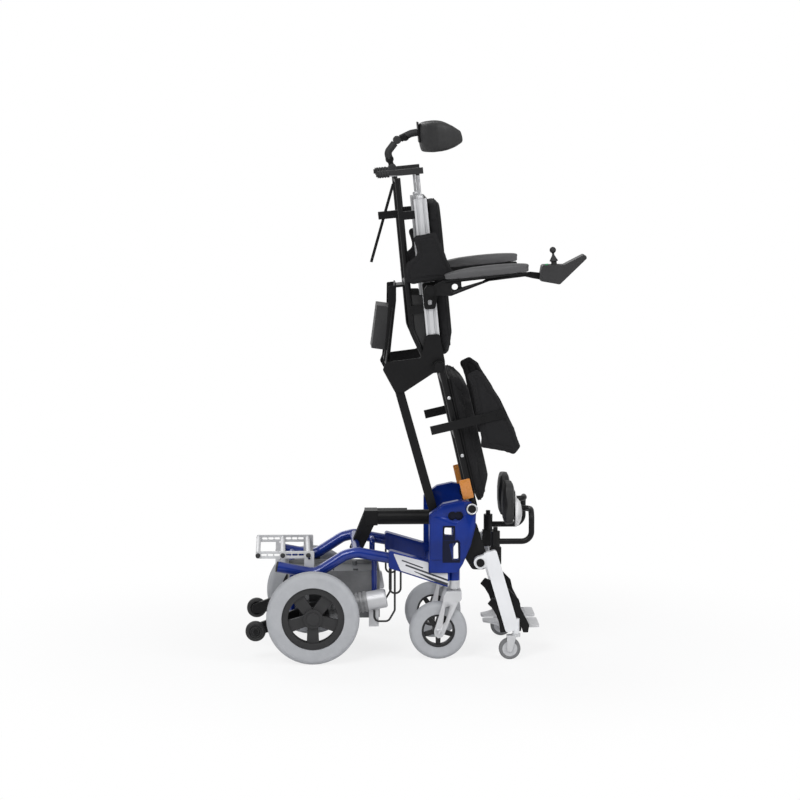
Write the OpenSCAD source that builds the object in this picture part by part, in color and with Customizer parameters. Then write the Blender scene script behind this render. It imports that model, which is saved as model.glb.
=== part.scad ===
// Electric stand-up wheelchair, in the standing position.
// The seat swings up about the knee axis on a four-bar link, and the back stays near upright.
// X points forward, Y to the occupant's left, Z up. Millimetres.

/* [Drive wheels] */
// Diameter of a drive wheel over its tyre
drive_d = 320; // [290:2:340]
// Width of a drive tyre
drive_w = 57; // [45:1:60]
// Distance between the middles of the drive tyres
drive_track = 570; // [565:1:620]
// Diameter of a drive rim where the tyre sits
drive_rim_d = 216; // [190:2:230]
// Radius of the drive shaft
drive_shaft_r = 10; // [8:0.5:14]

/* [Front casters] */
// Diameter of a front caster wheel
caster_d = 200; // [180:2:204]
// Width of a front caster tyre
caster_w = 48; // [36:1:50]
// Diameter of a front caster rim where the tyre sits
caster_rim_d = 116; // [100:2:130]
// Distance between the swivel axes of the front casters
caster_track = 400; // [394:1:406]
// Distance of the swivel axes ahead of the drive axle
caster_ahead = 489; // [485:1:495]
// Trail of a front caster
caster_trail = 55; // [45:1:58]
// Radius of a caster stem
stem_r = 11; // [9:0.5:13]

/* [Small wheels] */
// Diameter of an anti-tip wheel
antitip_d = 70; // [50:1:80]
// Width of an anti-tip wheel
antitip_w = 30; // [20:1:32]
// Diameter of a floor caster under the leg rest
floor_caster_d = 75; // [70:1:76]
// Width of a floor caster
floor_caster_w = 24; // [18:1:26]

/* [Frame] */
// Distance between the middles of the side tubes
frame_track = 410; // [405:1:415]
// Radius of a side tube
frame_r = 19; // [17:0.5:20]
// Thickness of the front column castings
column_t = 32; // [26:1:34]
// Width of a front column, fore and aft
column_w = 164; // [160:1:170]
// Height of a front column
column_h = 224; // [218:1:230]

/* [Lift] */
// Distance of the knee axis ahead of the drive axle
knee_x = 548; // [545:1:550]
// Height of the knee axis
knee_z = 528; // [524:1:530]
// Length of the seat from knee axis to hip axis
seat_l = 500; // [495:1:505]
// Angle of the seat above the level in the standing position
seat_angle = 77; // [76:0.5:78]
// Lean of the back in the standing position
back_lean = 5.5; // [5:0.5:7]
// Radius of the lift crank
crank_r = 80; // [76:1:82]

/* [Seat and back] */
// Distance between the middles of the seat tubes
seat_tube_track = 368; // [364:1:370]
// Radius of a seat tube
seat_tube_r = 12.5; // [11:0.5:13]
// Width of the seat cushion
cushion_w = 400; // [380:2:410]
// Thickness of the seat cushion
cushion_t = 48; // [40:1:52]
// Width of the back cushion
back_w = 322; // [310:2:322]
// Height of the back cushion
back_h = 568; // [540:2:580]
// Thickness of the back cushion
back_t = 34; // [26:1:38]
// Height of a back post above the hip axis
post_top = 577; // [560:1:590]

/* [Armrests] */
// Distance between the middles of the armrest pads
arm_track = 530; // [526:1:540]
// Length of an armrest pad
arm_pad_l = 298; // [270:2:310]
// Width of an armrest pad
arm_pad_w = 52; // [44:1:56]

/* [Leg rest] */
// Lean of the leg bars from the upright
leg_lean = 16.3; // [15:0.1:17]
// Length of a leg bar
leg_bar_l = 289; // [280:1:292]
// Width of a leg bar
leg_bar_w = 48; // [40:1:52]
// Thickness of a leg bar
leg_bar_t = 24; // [18:1:24]
// Length of a footplate
foot_l = 190; // [180:1:200]
// Width of a footplate
foot_w = 150; // [130:1:152]

/* [Hidden] */
$fn = 64;
// Overrun of every cut
overrun = 1;
// Radial clearance of a pin in its bore
running_gap = 0.05;
// Clearance of a soft piece or a resting piece from its seat
seat_gap = 0.3;
// Side clearance of a piece that turns beside another
side_gap = 1;
// Sides of the map from names to signs
RIGHT = -1;
LEFT = 1;
// Points in each rounded corner of an outline, and round a soft outline
corner_steps = 6;
soft_steps = 32;

// Vector helpers
function unit(v) = v / norm(v);
function across(d) = unit(cross(abs(d[2]) < abs(d[0]) + abs(d[1]) ? [0, 0, 1] : [0, 1, 0], d));
function turn(a, b, c) = acos(unit(b - a) * unit(c - b));
function run_in(a, b, c, bend) = bend * tan(turn(a, b, c) / 2);
function scaled(shares, size) = [for (s = shares) [s[0] * size[0], s[1] * size[1]]];
function moved(points, by) = [for (p = points) p + by];
function rect(x1, y1, x2, y2) = [[x1, y1], [x2, y1], [x2, y2], [x1, y2]];
function total(v) = [for (p = v) 1] * v;
function centre_of(points) = total(points) / len(points);

// Outline with every corner rounded to one radius
function corner(a, b, c, r) =
  let (
    d1 = unit(a - b),
    d2 = unit(c - b),
    half = acos(d1 * d2) / 2,
    centre = b + unit(d1 + d2) * r / sin(half),
    p1 = b + d1 * r / tan(half) - centre,
    p2 = b + d2 * r / tan(half) - centre,
    a1 = atan2(p1[1], p1[0]),
    raw = atan2(p2[1], p2[0]) - a1,
    step = (raw > 180 ? raw - 360 : raw < -180 ? raw + 360 : raw) / corner_steps
  )
  [for (i = [0:corner_steps]) centre + r * [cos(a1 + step * i), sin(a1 + step * i)]];
function rounded(points, r) =
  let (n = len(points))
  [for (i = [0:n - 1]) each corner(points[(i + n - 1) % n], points[i], points[(i + 1) % n], r)];

// Soft outline: a squared oval whose sides draw in between the corners
function sgn_pow(v, e) = sign(v) * pow(abs(v), e);
function soft_point(t, l, w, square, draw) =
  let (x = sgn_pow(cos(t), 2 / square), y = sgn_pow(sin(t), 2 / square))
  [l / 2 * x * (1 - draw * (1 - y * y)), w / 2 * y * (1 - draw * (1 - x * x))];
function soft_outline(l, w, square, draw) =
  [for (i = [0:soft_steps - 1]) soft_point(360 * (i + 0.5) / soft_steps, l, w, square, draw)];

// Placing helpers
module axes_at(origin, x, y, z)
  multmatrix([
    [x[0], y[0], z[0], origin[0]],
    [x[1], y[1], z[1], origin[1]],
    [x[2], y[2], z[2], origin[2]],
    [0, 0, 0, 1]
  ])
    children();
module both_sides() {
  children();
  mirror([0, 1, 0]) children();
}
module on_side(side) {
  if (side == LEFT)
    children();
  else
    mirror([0, 1, 0]) children();
}
// Round bar between two points
module rod(a, b, r) {
  d = unit(b - a);
  x = across(d);
  axes_at(a, x, cross(d, x), d) cylinder(h = norm(b - a), r = r);
}
// Round bar across the part, from one Y to another
module pin(x, z, y_from, y_to, r)
  translate([x, y_from, z]) rotate([-90, 0, 0]) cylinder(h = y_to - y_from, r = r);
// One bend of a tube
module bend_piece(a, b, c, r, bend) {
  d1 = unit(b - a);
  d2 = unit(c - b);
  inward = unit(d2 - (d1 * d2) * d1);
  start = b - d1 * run_in(a, b, c, bend);
  axes_at(start + inward * bend, -inward, d1, cross(-inward, d1))
    rotate_extrude(angle = turn(a, b, c)) translate([bend, 0]) circle(r = r);
}
// Tube through a list of points with every corner bent to one radius; a straight laps into its bend
bend_lap = 1;
bend_inset = 0.05;
module bent_tube(points, r, bend) {
  last = len(points) - 1;
  for (i = [0:last - 1]) {
    a = points[i];
    b = points[i + 1];
    d = unit(b - a);
    from = i == 0 ? a : a + d * (run_in(points[i - 1], a, b, bend) - bend_lap);
    to = i == last - 1 ? b : b - d * (run_in(a, b, points[i + 2], bend) - bend_lap);
    rod(from, to, r - bend_inset);
  }
  for (i = [1:last - 1])
    bend_piece(points[i - 1], points[i], points[i + 1], r, bend);
}
// Plate in the XZ plane between two Y values
module side_plate(outline, y_from, y_to)
  translate([0, y_to, 0]) rotate([90, 0, 0]) linear_extrude(y_to - y_from) polygon(outline);
// Soft closed form: rings of one outline, as [height, share of the outline], with thin ends on X
module soft_form(outline, rings, crown, ends = [0, 1, 0, 1]) {
  n = len(outline);
  far = max([for (p = outline) p[0]]);
  near = min([for (p = outline) p[0]]);
  thin = function (x) min(
    1,
    ends[0] > 0 ? ends[1] + (1 - ends[1]) * (x - near) / ends[0] : 1,
    ends[2] > 0 ? ends[3] + (1 - ends[3]) * (far - x) / ends[2] : 1
  );
  points = [
    for (ring = rings)
      for (p = outline)
        [p[0] * ring[1], p[1] * ring[1], ring[0] * thin(p[0] * ring[1])],
    [0, 0, rings[0][0]],
    [0, 0, crown]
  ];
  top = len(rings) - 1;
  sides = [
    for (k = [0:top - 1])
      for (j = [0:n - 1])
        each [
          [k * n + j, (k + 1) * n + j, (k + 1) * n + (j + 1) % n],
          [k * n + j, (k + 1) * n + (j + 1) % n, k * n + (j + 1) % n]
        ]
  ];
  caps = [
    for (j = [0:n - 1])
      each [[(top + 1) * n, j, (j + 1) % n], [(top + 1) * n + 1, top * n + (j + 1) % n, top * n + j]]
  ];
  polyhedron(points = points, faces = concat(sides, caps), convexity = 4);
}
// Rings of a pad with a crowned face and a flat back, as shares of its thickness
crowned_ring_shares = [
  [0, 0.94], [0.12, 0.985], [0.45, 0.975], [0.7, 1], [0.86, 0.975], [0.95, 0.9], [1, 0.7]
];
// Rings of a pad with two crowned faces
twin_ring_shares = [[0, 0.7], [0.08, 0.9], [0.2, 0.98], [0.5, 1], [0.8, 0.98], [0.92, 0.9], [1, 0.7]];
// Rings of a pad with a sewn border on its face
sewn_ring_shares = [
  [0, 0.8], [0.08, 0.93], [0.25, 0.99], [0.5, 1], [0.78, 0.985], [0.88, 0.93],
  [0.86, 0.885], [0.95, 0.84], [1, 0.6]
];
// Rise of a crown over its last ring, as a share of the pad's thickness
crown_share = 1.06;
module soft_pad(outline, t, ring_shares, ends = [0, 1, 0, 1])
  soft_form(outline, [for (s = ring_shares) [s[0] * t, s[1]]], t * crown_share, ends);

// Where the middle of the part lies, ahead of the drive axle
antitip_behind = 197;
antitip_z = 105;
pod_nose_fwd = 522;
pod_nose_up = 332;
pod_nose_r = 9;
hip_x = knee_x - seat_l * cos(seat_angle);
hip_z = knee_z + seat_l * sin(seat_angle);
front_x = hip_x + pod_nose_fwd * cos(back_lean) - pod_nose_up * sin(back_lean) + pod_nose_r;
x_centre = (front_x - antitip_behind - antitip_d / 2) / 2;
module in_base()
  translate([-x_centre, 0, 0]) children();
// Seat frame: X runs from the hip to the knee axis, Z is square to the seat
module in_seat()
  in_base() translate([knee_x, 0, knee_z]) rotate([0, seat_angle, 0]) children();
// Back frame: X forward, Z up along the back, from the hip axis
module in_back()
  in_base() translate([hip_x, 0, hip_z]) rotate([0, -back_lean, 0]) children();

// Side tubes: a bent blue tube each side, from the rear rail over the motor to the front beam
frame_y = frame_track / 2;
rail_rear_x = -120;
rail_rear_z = 325;
dip_x = 10;
dip_z = 300;
rise_x = 112;
rise_z = 365;
crest_x = 153;
crest_z = 374;
beam_rear_x = 262;
beam_rear_z = 354;
frame_bend = 60;
socket_depth = 22;
frame_dir = unit([beam_rear_x - crest_x, 0, beam_rear_z - crest_z]);
module side_tube_solid(extra)
  bent_tube(
    [
      [rail_rear_x, frame_y, rail_rear_z],
      [dip_x, frame_y, dip_z],
      [rise_x, frame_y, rise_z],
      [crest_x, frame_y, crest_z],
      [beam_rear_x, frame_y, beam_rear_z] + frame_dir * socket_depth
    ],
    frame_r + extra,
    frame_bend
  );
module side_frames()
  color("royalblue") in_base() both_sides() side_tube_solid(0);

// Front castings: beam, caster head tube and the open A-shaped column in one piece each side
beam_t = 46;
beam_front_x = 472;
beam_rear_top = 384;
beam_rear_bottom = 322;
beam_front_top = 322;
beam_front_bottom = 252;
beam_round = 8;
head_r = 20;
head_bottom = 246;
head_top = 346;
column_x = 400;
column_z = 333;
column_shift = 2;
column_y = frame_y + column_shift;
column_round = 10;
column_outline_shares = [
  [0.01, -0.12], [0.01, 0.79], [0.3, 0.95], [0.62, 1], [0.9, 0.97], [0.99, 0.8],
  [0.98, 0.6], [0.88, 0.3], [0.72, 0.02], [0.6, -0.12]
];
window_upper_shares = [[0.32, 0.46], [0.33, 0.585], [0.52, 0.58], [0.5, 0.45]];
window_lower_shares = [[0.5, 0.07], [0.42, 0.33], [0.62, 0.35], [0.63, 0.08]];
window_round = 5;
recess_x_share = 0.56;
recess_z_share = 0.765;
recess_half_l = 11;
recess_r = 15;
recess_deep = 12;
knee_pin_r = 12;
link_base_x = 434;
link_base_z = 460;
link_pin_r = 8;
link_y = 150;
link_t = 10;
function column_points(shares) = moved(scaled(shares, [column_w, column_h]), [column_x, column_z]);
module column_window(shares)
  side_plate(
    rounded(column_points(shares), window_round), column_y - overrun, column_y + column_t + overrun
  );
module front_columns()
  color("royalblue") in_base() both_sides() difference() {
    union() {
      side_plate(
        rounded(
          [
            [beam_rear_x, beam_rear_bottom], [beam_front_x, beam_front_bottom],
            [beam_front_x, beam_front_top], [beam_rear_x, beam_rear_top]
          ],
          beam_round
        ),
        frame_y - beam_t / 2,
        frame_y + beam_t / 2
      );
      translate([caster_ahead, caster_track / 2, head_bottom])
        cylinder(h = head_top - head_bottom, r = head_r);
      side_plate(
        rounded(column_points(column_outline_shares), column_round),
        column_y,
        column_y + column_t
      );
      pin(link_base_x, link_base_z, link_y - link_stub, column_y + overrun, link_pin_r);
    }
    side_tube_solid(running_gap);
    translate([caster_ahead, caster_track / 2, head_bottom - overrun])
      cylinder(h = stem_top - head_bottom + side_gap + overrun, r = stem_r + running_gap);
    pin(knee_x, knee_z, column_y - overrun, column_y + column_t + overrun, knee_pin_r + running_gap);
    column_window(window_upper_shares);
    column_window(window_lower_shares);
    for (dx = [-recess_half_l, recess_half_l])
      pin(
        column_x + recess_x_share * column_w + dx,
        column_z + recess_z_share * column_h,
        column_y + column_t - recess_deep,
        column_y + column_t + overrun,
        recess_r
      );
  }

// Cross tubes: two battery cradles, the arch tube that carries the lift, and a front tie
cradle_r = 10;
cradle_y = 143;
cradle_z = 120;
cradle_bend = 20;
cradle_rear_x = -70;
cradle_front_x = 215;
arch_tube_r = 15;
tie_x = 420;
tie_z = 300;
function rail_height(x) = rail_rear_z + (dip_z - rail_rear_z) * (x - rail_rear_x) / (dip_x - rail_rear_x);
module cradle(x, top_z, end_y)
  bent_tube(
    [
      [x, end_y, top_z], [x, cradle_y, top_z], [x, cradle_y, cradle_z],
      [x, -cradle_y, cradle_z], [x, -cradle_y, top_z], [x, -end_y, top_z]
    ],
    cradle_r,
    cradle_bend
  );
module cross_tubes()
  color("royalblue") in_base() {
    cradle(cradle_rear_x, rail_height(cradle_rear_x), frame_y - frame_r - running_gap);
    cradle(
      cradle_front_x,
      crest_z + (beam_rear_z - crest_z) * (cradle_front_x - crest_x) / (beam_rear_x - crest_x),
      frame_y - frame_r - running_gap
    );
    pin(
      crest_x, crest_z,
      -(frame_y - frame_r - running_gap), frame_y - frame_r - running_gap, arch_tube_r
    );
    pin(tie_x, tie_z, -(frame_y - beam_t / 2), frame_y - beam_t / 2, arch_tube_r);
  }

// Leg hangers: black plates bolted inside the columns, each with the pivot pin of the leg rest
leg_x = 578;
leg_z = 340;
leg_pin_r = 10;
boss_proud = 4;
hanger_t = 8;
hanger_x = 520;
hanger_z = 312;
hanger_w = 88;
hanger_h = 168;
hanger_outline_shares = [[0.12, 0.94], [0, 0.3], [0.36, 0], [0.86, 0], [1, 0.2], [0.5, 1]];
hanger_round = 14;
leg_y = column_y + side_gap * 2;
bolt_r = 7;
bolt_t = 5;
leg_head_y = leg_y + leg_bar_t + boss_proud + seat_gap;
module leg_hangers()
  color("black") in_base() both_sides() {
    side_plate(
      rounded(
        moved(scaled(hanger_outline_shares, [hanger_w, hanger_h]), [hanger_x, hanger_z]),
        hanger_round
      ),
      column_y - hanger_t,
      column_y
    );
    pin(leg_x, leg_z, column_y - overrun, leg_head_y, leg_pin_r);
    pin(leg_x, leg_z, leg_head_y, leg_head_y + bolt_t, 2 * bolt_r);
  }

// Rear rack: slotted side rails on bracket plates, with three cross tubes
rack_z = 363;
rack_rail_h = 25;
rack_rail_t = 8;
rack_rail_rear = -195;
rack_rail_front = 6;
rack_tube_r = 8;
rack_half_w = 196;
rack_tube_shares = [0.035, 0.46, 0.9];
rack_slot_shares = [0.14, 0.25, 0.36, 0.56, 0.67, 0.78];
rack_slot_half = 6;
rack_slot_r = 4;
rack_round = 5;
rack_leg_w = 34;
rack_leg_shares = [0.42, 0.915];
rack_y = frame_y - frame_r - rack_rail_t;
rack_l = rack_rail_front - rack_rail_rear;
tie_hole_r = 4.5;
tie_hole_drop = 14;
function rack_at(share) = rack_rail_rear + rack_l * share;
module rear_rack()
  color("silver") in_base() difference() {
    union() {
      both_sides() {
        side_plate(
          rounded(
            rect(rack_rail_rear, rack_z - rack_rail_h / 2, rack_rail_front, rack_z + rack_rail_h / 2),
            rack_round
          ),
          rack_y,
          rack_y + rack_rail_t
        );
        for (share = rack_leg_shares)
          side_plate(
            rounded(
              rect(
                rack_at(share) - rack_leg_w / 2,
                rail_height(rack_at(share)) - frame_r / 2,
                rack_at(share) + rack_leg_w / 2,
                rack_z
              ),
              rack_round
            ),
            rack_y,
            rack_y + rack_rail_t
          );
      }
      for (share = rack_tube_shares)
        pin(rack_at(share), rack_z, -rack_half_w, rack_half_w, rack_tube_r);
    }
    for (share = rack_slot_shares)
      for (dx = [-rack_slot_half, rack_slot_half])
        pin(rack_at(share) + dx, rack_z, -rack_half_w, rack_half_w, rack_slot_r);
    for (share = rack_slot_shares)
      translate([rack_at(share) - rack_slot_half, -rack_half_w, rack_z - rack_slot_r])
        cube([2 * rack_slot_half, 2 * rack_half_w, 2 * rack_slot_r]);
    for (share = rack_leg_shares)
      pin(rack_at(share), rack_z - tie_hole_drop, -rack_half_w, rack_half_w, tie_hole_r);
  }

// Anti-tip arms: flat bars bolted to the gearboxes, each with its wheel pin
antitip_shift = 23;
antitip_y = frame_y + antitip_shift;
antitip_head_y = antitip_y + antitip_w / 2 + side_gap;
antitip_pin_r = 6;
antitip_arm_t = 16;
antitip_arm_y = frame_y - antitip_arm_t / 2;
antitip_eye = 15;
antitip_round = 7;
antitip_root_half = 28;
antitip_root_x = -30;
module antitip_arms()
  color("black") in_base() both_sides() {
    difference() {
      side_plate(
        rounded(
          [
            [antitip_root_x, drive_d / 2 + antitip_root_half],
            [-antitip_behind - antitip_eye, antitip_z + antitip_eye],
            [-antitip_behind - antitip_eye, antitip_z - antitip_eye],
            [-antitip_behind + antitip_eye, antitip_z - antitip_eye],
            [antitip_root_x, drive_d / 2 - antitip_root_half]
          ],
          antitip_round
        ),
        antitip_arm_y,
        antitip_arm_y + antitip_arm_t
      );
      pin(0, drive_d / 2, gear_y, gear_face_y, gear_r + running_gap);
    }
    pin(-antitip_behind, antitip_z, antitip_arm_y, antitip_head_y, antitip_pin_r);
    pin(-antitip_behind, antitip_z, antitip_head_y, antitip_head_y + bolt_t, bolt_r + overrun);
  }
module antitip_wheel(side)
  color("dimgray") in_base() on_side(side)
    translate([-antitip_behind, antitip_y, antitip_z]) wheel_turn() difference() {
      plain_tyre(antitip_d / 2, antitip_pin_r + running_gap, antitip_w, antitip_w / 3);
      for (face = [-antitip_w / 2, antitip_w / 2])
        rotate_extrude() translate([antitip_d / 4, face]) circle(r = antitip_w / 6);
    }

// Drive unit each side: worm gearbox at the axle, ribbed motor and silver brake can
gear_r = 46;
gear_y = 166;
gear_stand_in = 38;
gear_face_y = drive_track / 2 - gear_stand_in;
gear_cover_r = 34;
gear_cover_t = 6;
shaft_past = 15;
shaft_end_y = drive_track / 2 + shaft_past;
motor_y = 190;
motor_r = 36;
motor_rise = 10;
motor_start_x = 46;
motor_start_z = 175;
flange_t = 8;
motor_l = 137;
can_l = 68;
can_r = 33;
can_dome = 8;
rib_count = 9;
rib_w = 6;
rib_deep = 4;
gear_lug_w = 44;
gear_lug_t = 12;
gear_mount_w = 34;
gear_mount_h = 66;
gear_mount_t = 8;
gear_mount_drop = 88;
module on_motor(s)
  translate([motor_start_x, motor_y, motor_start_z])
    rotate([0, 90 - motor_rise, 0]) translate([0, 0, s]) children();
module drive_gearboxes()
  color("silver") in_base() both_sides() {
    union() {
      pin(0, drive_d / 2, gear_y, gear_face_y - gear_cover_t, gear_r);
      pin(0, drive_d / 2, gear_y, gear_face_y, gear_cover_r);
      pin(0, drive_d / 2, gear_y, shaft_end_y, drive_shaft_r);
      on_motor(-motor_start_x) cylinder(h = motor_start_x + flange_t, r = motor_r - rib_deep);
      on_motor(0) cylinder(h = flange_t, r = motor_r + rib_deep);
      difference() {
        translate([dip_x - gear_lug_w / 2, frame_y - gear_lug_t / 2, drive_d / 2])
          cube([gear_lug_w, gear_lug_t, dip_z - drive_d / 2]);
        side_tube_solid(running_gap);
      }
    }
    union() {
      on_motor(flange_t + motor_l) rotate_extrude() can_profile();
      translate([
        motor_start_x + (flange_t + motor_l + rib_w) * cos(motor_rise),
        motor_y - gear_mount_t / 2,
        motor_start_z + (flange_t + motor_l) * sin(motor_rise) - gear_mount_drop
      ])
        cube([gear_mount_w, gear_mount_t, gear_mount_h]);
    }
  }
// Half section of the brake can, with a rounded end
module can_profile() {
  square([can_r, can_l - can_dome]);
  square([can_r - can_dome, can_l]);
  translate([can_r - can_dome, can_l - can_dome]) intersection() {
    circle(r = can_dome);
    square(can_dome);
  }
}
module drive_motors()
  color("black") in_base() both_sides() on_motor(flange_t) difference() {
    cylinder(h = motor_l, r = motor_r);
    for (i = [1:rib_count])
      translate([0, 0, motor_l * i / (rib_count + 1) - rib_w / 2]) difference() {
        cylinder(h = rib_w, r = motor_r + overrun);
        cylinder(h = rib_w, r = motor_r - rib_deep);
      }
  }

// Battery tray and its two batteries
tray_rear_x = -85;
tray_l = 320;
tray_w = 244;
tray_h = 166;
tray_wall = 3;
tray_rim = 6;
tray_round = 14;
battery_gap = 4;
battery_h = 150;
terminal_shares = [0.15, 0.85];
terminal_r = 9;
terminal_h = 14;
tray_z = cradle_z + cradle_r;
module tray_block(inset, h)
  linear_extrude(h) translate([tray_l / 2, 0]) polygon(rounded(
    rect(inset - tray_l / 2, inset - tray_w / 2, tray_l / 2 - inset, tray_w / 2 - inset),
    tray_round
  ));
module battery_tray()
  color("slategray") in_base() translate([tray_rear_x, 0, tray_z]) difference() {
    tray_block(0, tray_h);
    translate([0, 0, tray_wall]) tray_block(tray_wall, tray_h);
  }
module batteries() {
  battery_l = (tray_l - 2 * tray_wall - 2 * tray_rim - battery_gap) / 2;
  battery_w = tray_w - 2 * tray_wall - 2 * tray_rim;
  color("dimgray") in_base() for (i = [0, 1]) translate([
    tray_rear_x + tray_wall + tray_rim + i * (battery_l + battery_gap),
    -battery_w / 2,
    tray_z + tray_wall
  ]) {
    cube([battery_l, battery_w, battery_h]);
    for (share = terminal_shares)
      translate([battery_l / 2, battery_w * share, battery_h - overrun])
        cylinder(h = terminal_h + overrun, r = terminal_r);
  }
}

// Lift actuator: screw drive on the arch tube that pulls the seat crank rearward
lift_z = knee_z - crank_r * cos(seat_angle / 2);
lift_rear_x = 186;
lift_front_x = 470;
lift_tube_r = 26;
lift_rod_r = 11;
lift_motor_r = 24;
lift_motor_y = 54;
lift_motor_l = 150;
lift_head_l = 44;
lift_cheek_t = 7;
lift_cheek_y = 22;
lift_cheek_w = 46;
lift_nose_l = 16;
lift_nose_r = 20;
lift_bore_l = 145;
module lift_actuator()
  color("black") in_base() difference() {
    union() {
      rod([lift_rear_x, 0, lift_z], [lift_front_x - lift_nose_l, 0, lift_z], lift_tube_r);
      rod([lift_rear_x, 0, lift_z], [lift_front_x, 0, lift_z], lift_nose_r);
      translate([lift_rear_x, lift_motor_y, lift_z]) rotate([0, 90, 0])
        cylinder(h = lift_motor_l, r = lift_motor_r);
      translate([lift_rear_x, -lift_tube_r, lift_z - lift_tube_r])
        cube([lift_head_l, lift_tube_r + lift_motor_y, 2 * lift_tube_r]);
      both_sides() side_plate(
        rounded(
          [
            [crest_x - lift_cheek_w / 2, crest_z - lift_cheek_w / 2],
            [crest_x + lift_cheek_w / 2, crest_z - lift_cheek_w / 2],
            [lift_rear_x + lift_head_l, lift_z],
            [lift_rear_x + lift_head_l, lift_z + lift_tube_r],
            [lift_rear_x, lift_z + lift_tube_r]
          ],
          rack_round
        ),
        lift_cheek_y - lift_cheek_t,
        lift_cheek_y
      );
    }
    pin(crest_x, crest_z, -lift_motor_y, lift_motor_y, arch_tube_r + running_gap);
    rod(
      [lift_front_x - lift_bore_l, 0, lift_z], [lift_front_x + overrun, 0, lift_z],
      lift_rod_r + running_gap
    );
  }
// Lift rod with the slotted yoke that holds the crank pin
crank_pin_r = 6;
yoke_half_t = 8;
yoke_clear = 1.9;
yoke_wall = 12;
yoke_slot_over = 3;
lift_rod_in = 125;
neck_r = 7.5;
neck_from_pin = 37;
crank_back = crank_r * sin(seat_angle / 2);
crank_low = knee_z - crank_r;
yoke_slot_half = crank_pin_r + yoke_clear;
module yoke_slot(grow) {
  z_low = crank_low - crank_pin_r - yoke_slot_over - grow;
  z_high = lift_z + crank_pin_r + yoke_slot_over + grow;
  side_plate(
    rect(
      knee_x - crank_back - yoke_slot_half - grow, z_low,
      knee_x - crank_back + yoke_slot_half + grow, z_high
    ),
    -yoke_half_t - (grow > 0 ? 0 : overrun),
    yoke_half_t + (grow > 0 ? 0 : overrun)
  );
}
module actuator_rod()
  color("silver") in_base() difference() {
    union() {
      rod(
        [lift_front_x - lift_rod_in, 0, lift_z],
        [knee_x - crank_back - neck_from_pin, 0, lift_z], lift_rod_r
      );
      rod(
        [lift_front_x - lift_rod_in, 0, lift_z],
        [knee_x - crank_back - yoke_slot_half - overrun, 0, lift_z], neck_r
      );
      yoke_slot(yoke_wall);
    }
    yoke_slot(0);
  }
// Lift links: a flat bar each side from the column to the back bracket
link_back_fwd = -144;
link_back_up = -57;
link_back_pin_r = 6;
// The upper link eye is open round its pin, because the linkage is closed there
link_open = 4.6;
link_half_w = 15;
link_eye_r = 18;
link_stub = 2;
link_top_x = hip_x + link_back_fwd * cos(back_lean) - link_back_up * sin(back_lean);
link_top_z = hip_z + link_back_fwd * sin(back_lean) + link_back_up * cos(back_lean);
module lift_links()
  color("black") in_base() both_sides() difference() {
    union() {
      link_dir = unit([link_top_x - link_base_x, link_top_z - link_base_z]);
      link_side = [link_dir[1], -link_dir[0]] * link_half_w;
      side_plate(
        [
          [link_base_x, link_base_z] - link_side, [link_base_x, link_base_z] + link_side,
          [link_top_x, link_top_z] + link_side, [link_top_x, link_top_z] - link_side
        ],
        link_y,
        link_y + link_t
      );
      pin(link_base_x, link_base_z, link_y, link_y + link_t, link_eye_r);
      pin(link_top_x, link_top_z, link_y, link_y + link_t, link_eye_r);
    }
    pin(
      link_base_x, link_base_z, link_y - overrun, link_y + link_t + overrun,
      link_pin_r + running_gap
    );
    pin(
      link_top_x, link_top_z, link_y - overrun, link_y + link_t + overrun,
      link_back_pin_r + link_open
    );
  }

// Motor cables: each side has a feed to the brake can and a spare loop under the beam
cable_r = 3.5;
cable_bend = 18;
feed_y = 203;
spare_y = 214;
feed_route = [[284, 313], [284, 170], [262, 132], [213, 132], [213, 171]];
spare_route = [[266, 319], [266, 232], [304, 232], [304, 306]];
module motor_cables()
  color("black") in_base() both_sides() {
    bent_tube([for (p = feed_route) [p[0], feed_y, p[1]]], cable_r, cable_bend);
    bent_tube([for (p = spare_route) [p[0], spare_y, p[1]]], cable_r, cable_bend);
  }

// Wheels turn about Y: a wheel is drawn about Z and laid over
module wheel_turn()
  rotate([90, 0, 0]) children();
// Solid tyre of revolution with a rounded tread
module plain_tyre(outer_r, inner_r, w, edge_r)
  rotate_extrude() difference() {
    union() {
      translate([inner_r, -w / 2 + edge_r]) square([outer_r - inner_r, w - 2 * edge_r]);
      translate([inner_r, -w / 2]) square([outer_r - edge_r - inner_r, w]);
      for (side = [-1, 1])
        translate([outer_r - edge_r, side * (w / 2 - edge_r)]) circle(r = edge_r);
    }
    translate([inner_r - 2 * edge_r, -w]) square([2 * edge_r, 2 * w]);
  }
// Tyre with ring grooves in its tread
groove_w = 3;
groove_deep = 3;
module ribbed_tyre(outer_r, inner_r, w, edge_r, groove_shares)
  difference() {
    plain_tyre(outer_r, inner_r, w, edge_r);
    for (share = groove_shares)
      rotate_extrude() translate([outer_r - groove_deep, w * share - groove_w / 2])
        square([groove_deep + overrun, groove_w]);
  }
drive_groove_shares = [-0.24, 0, 0.24];
caster_groove_shares = [-0.16, 0.16];
drive_edge_r = 20;
caster_edge_r = 17;
drive_y = drive_track / 2;
module drive_tyre(side)
  color("lightgray") in_base() on_side(side) translate([0, drive_y, drive_d / 2]) wheel_turn()
    ribbed_tyre(drive_d / 2, drive_rim_d / 2, drive_w, drive_edge_r, drive_groove_shares);

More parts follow.
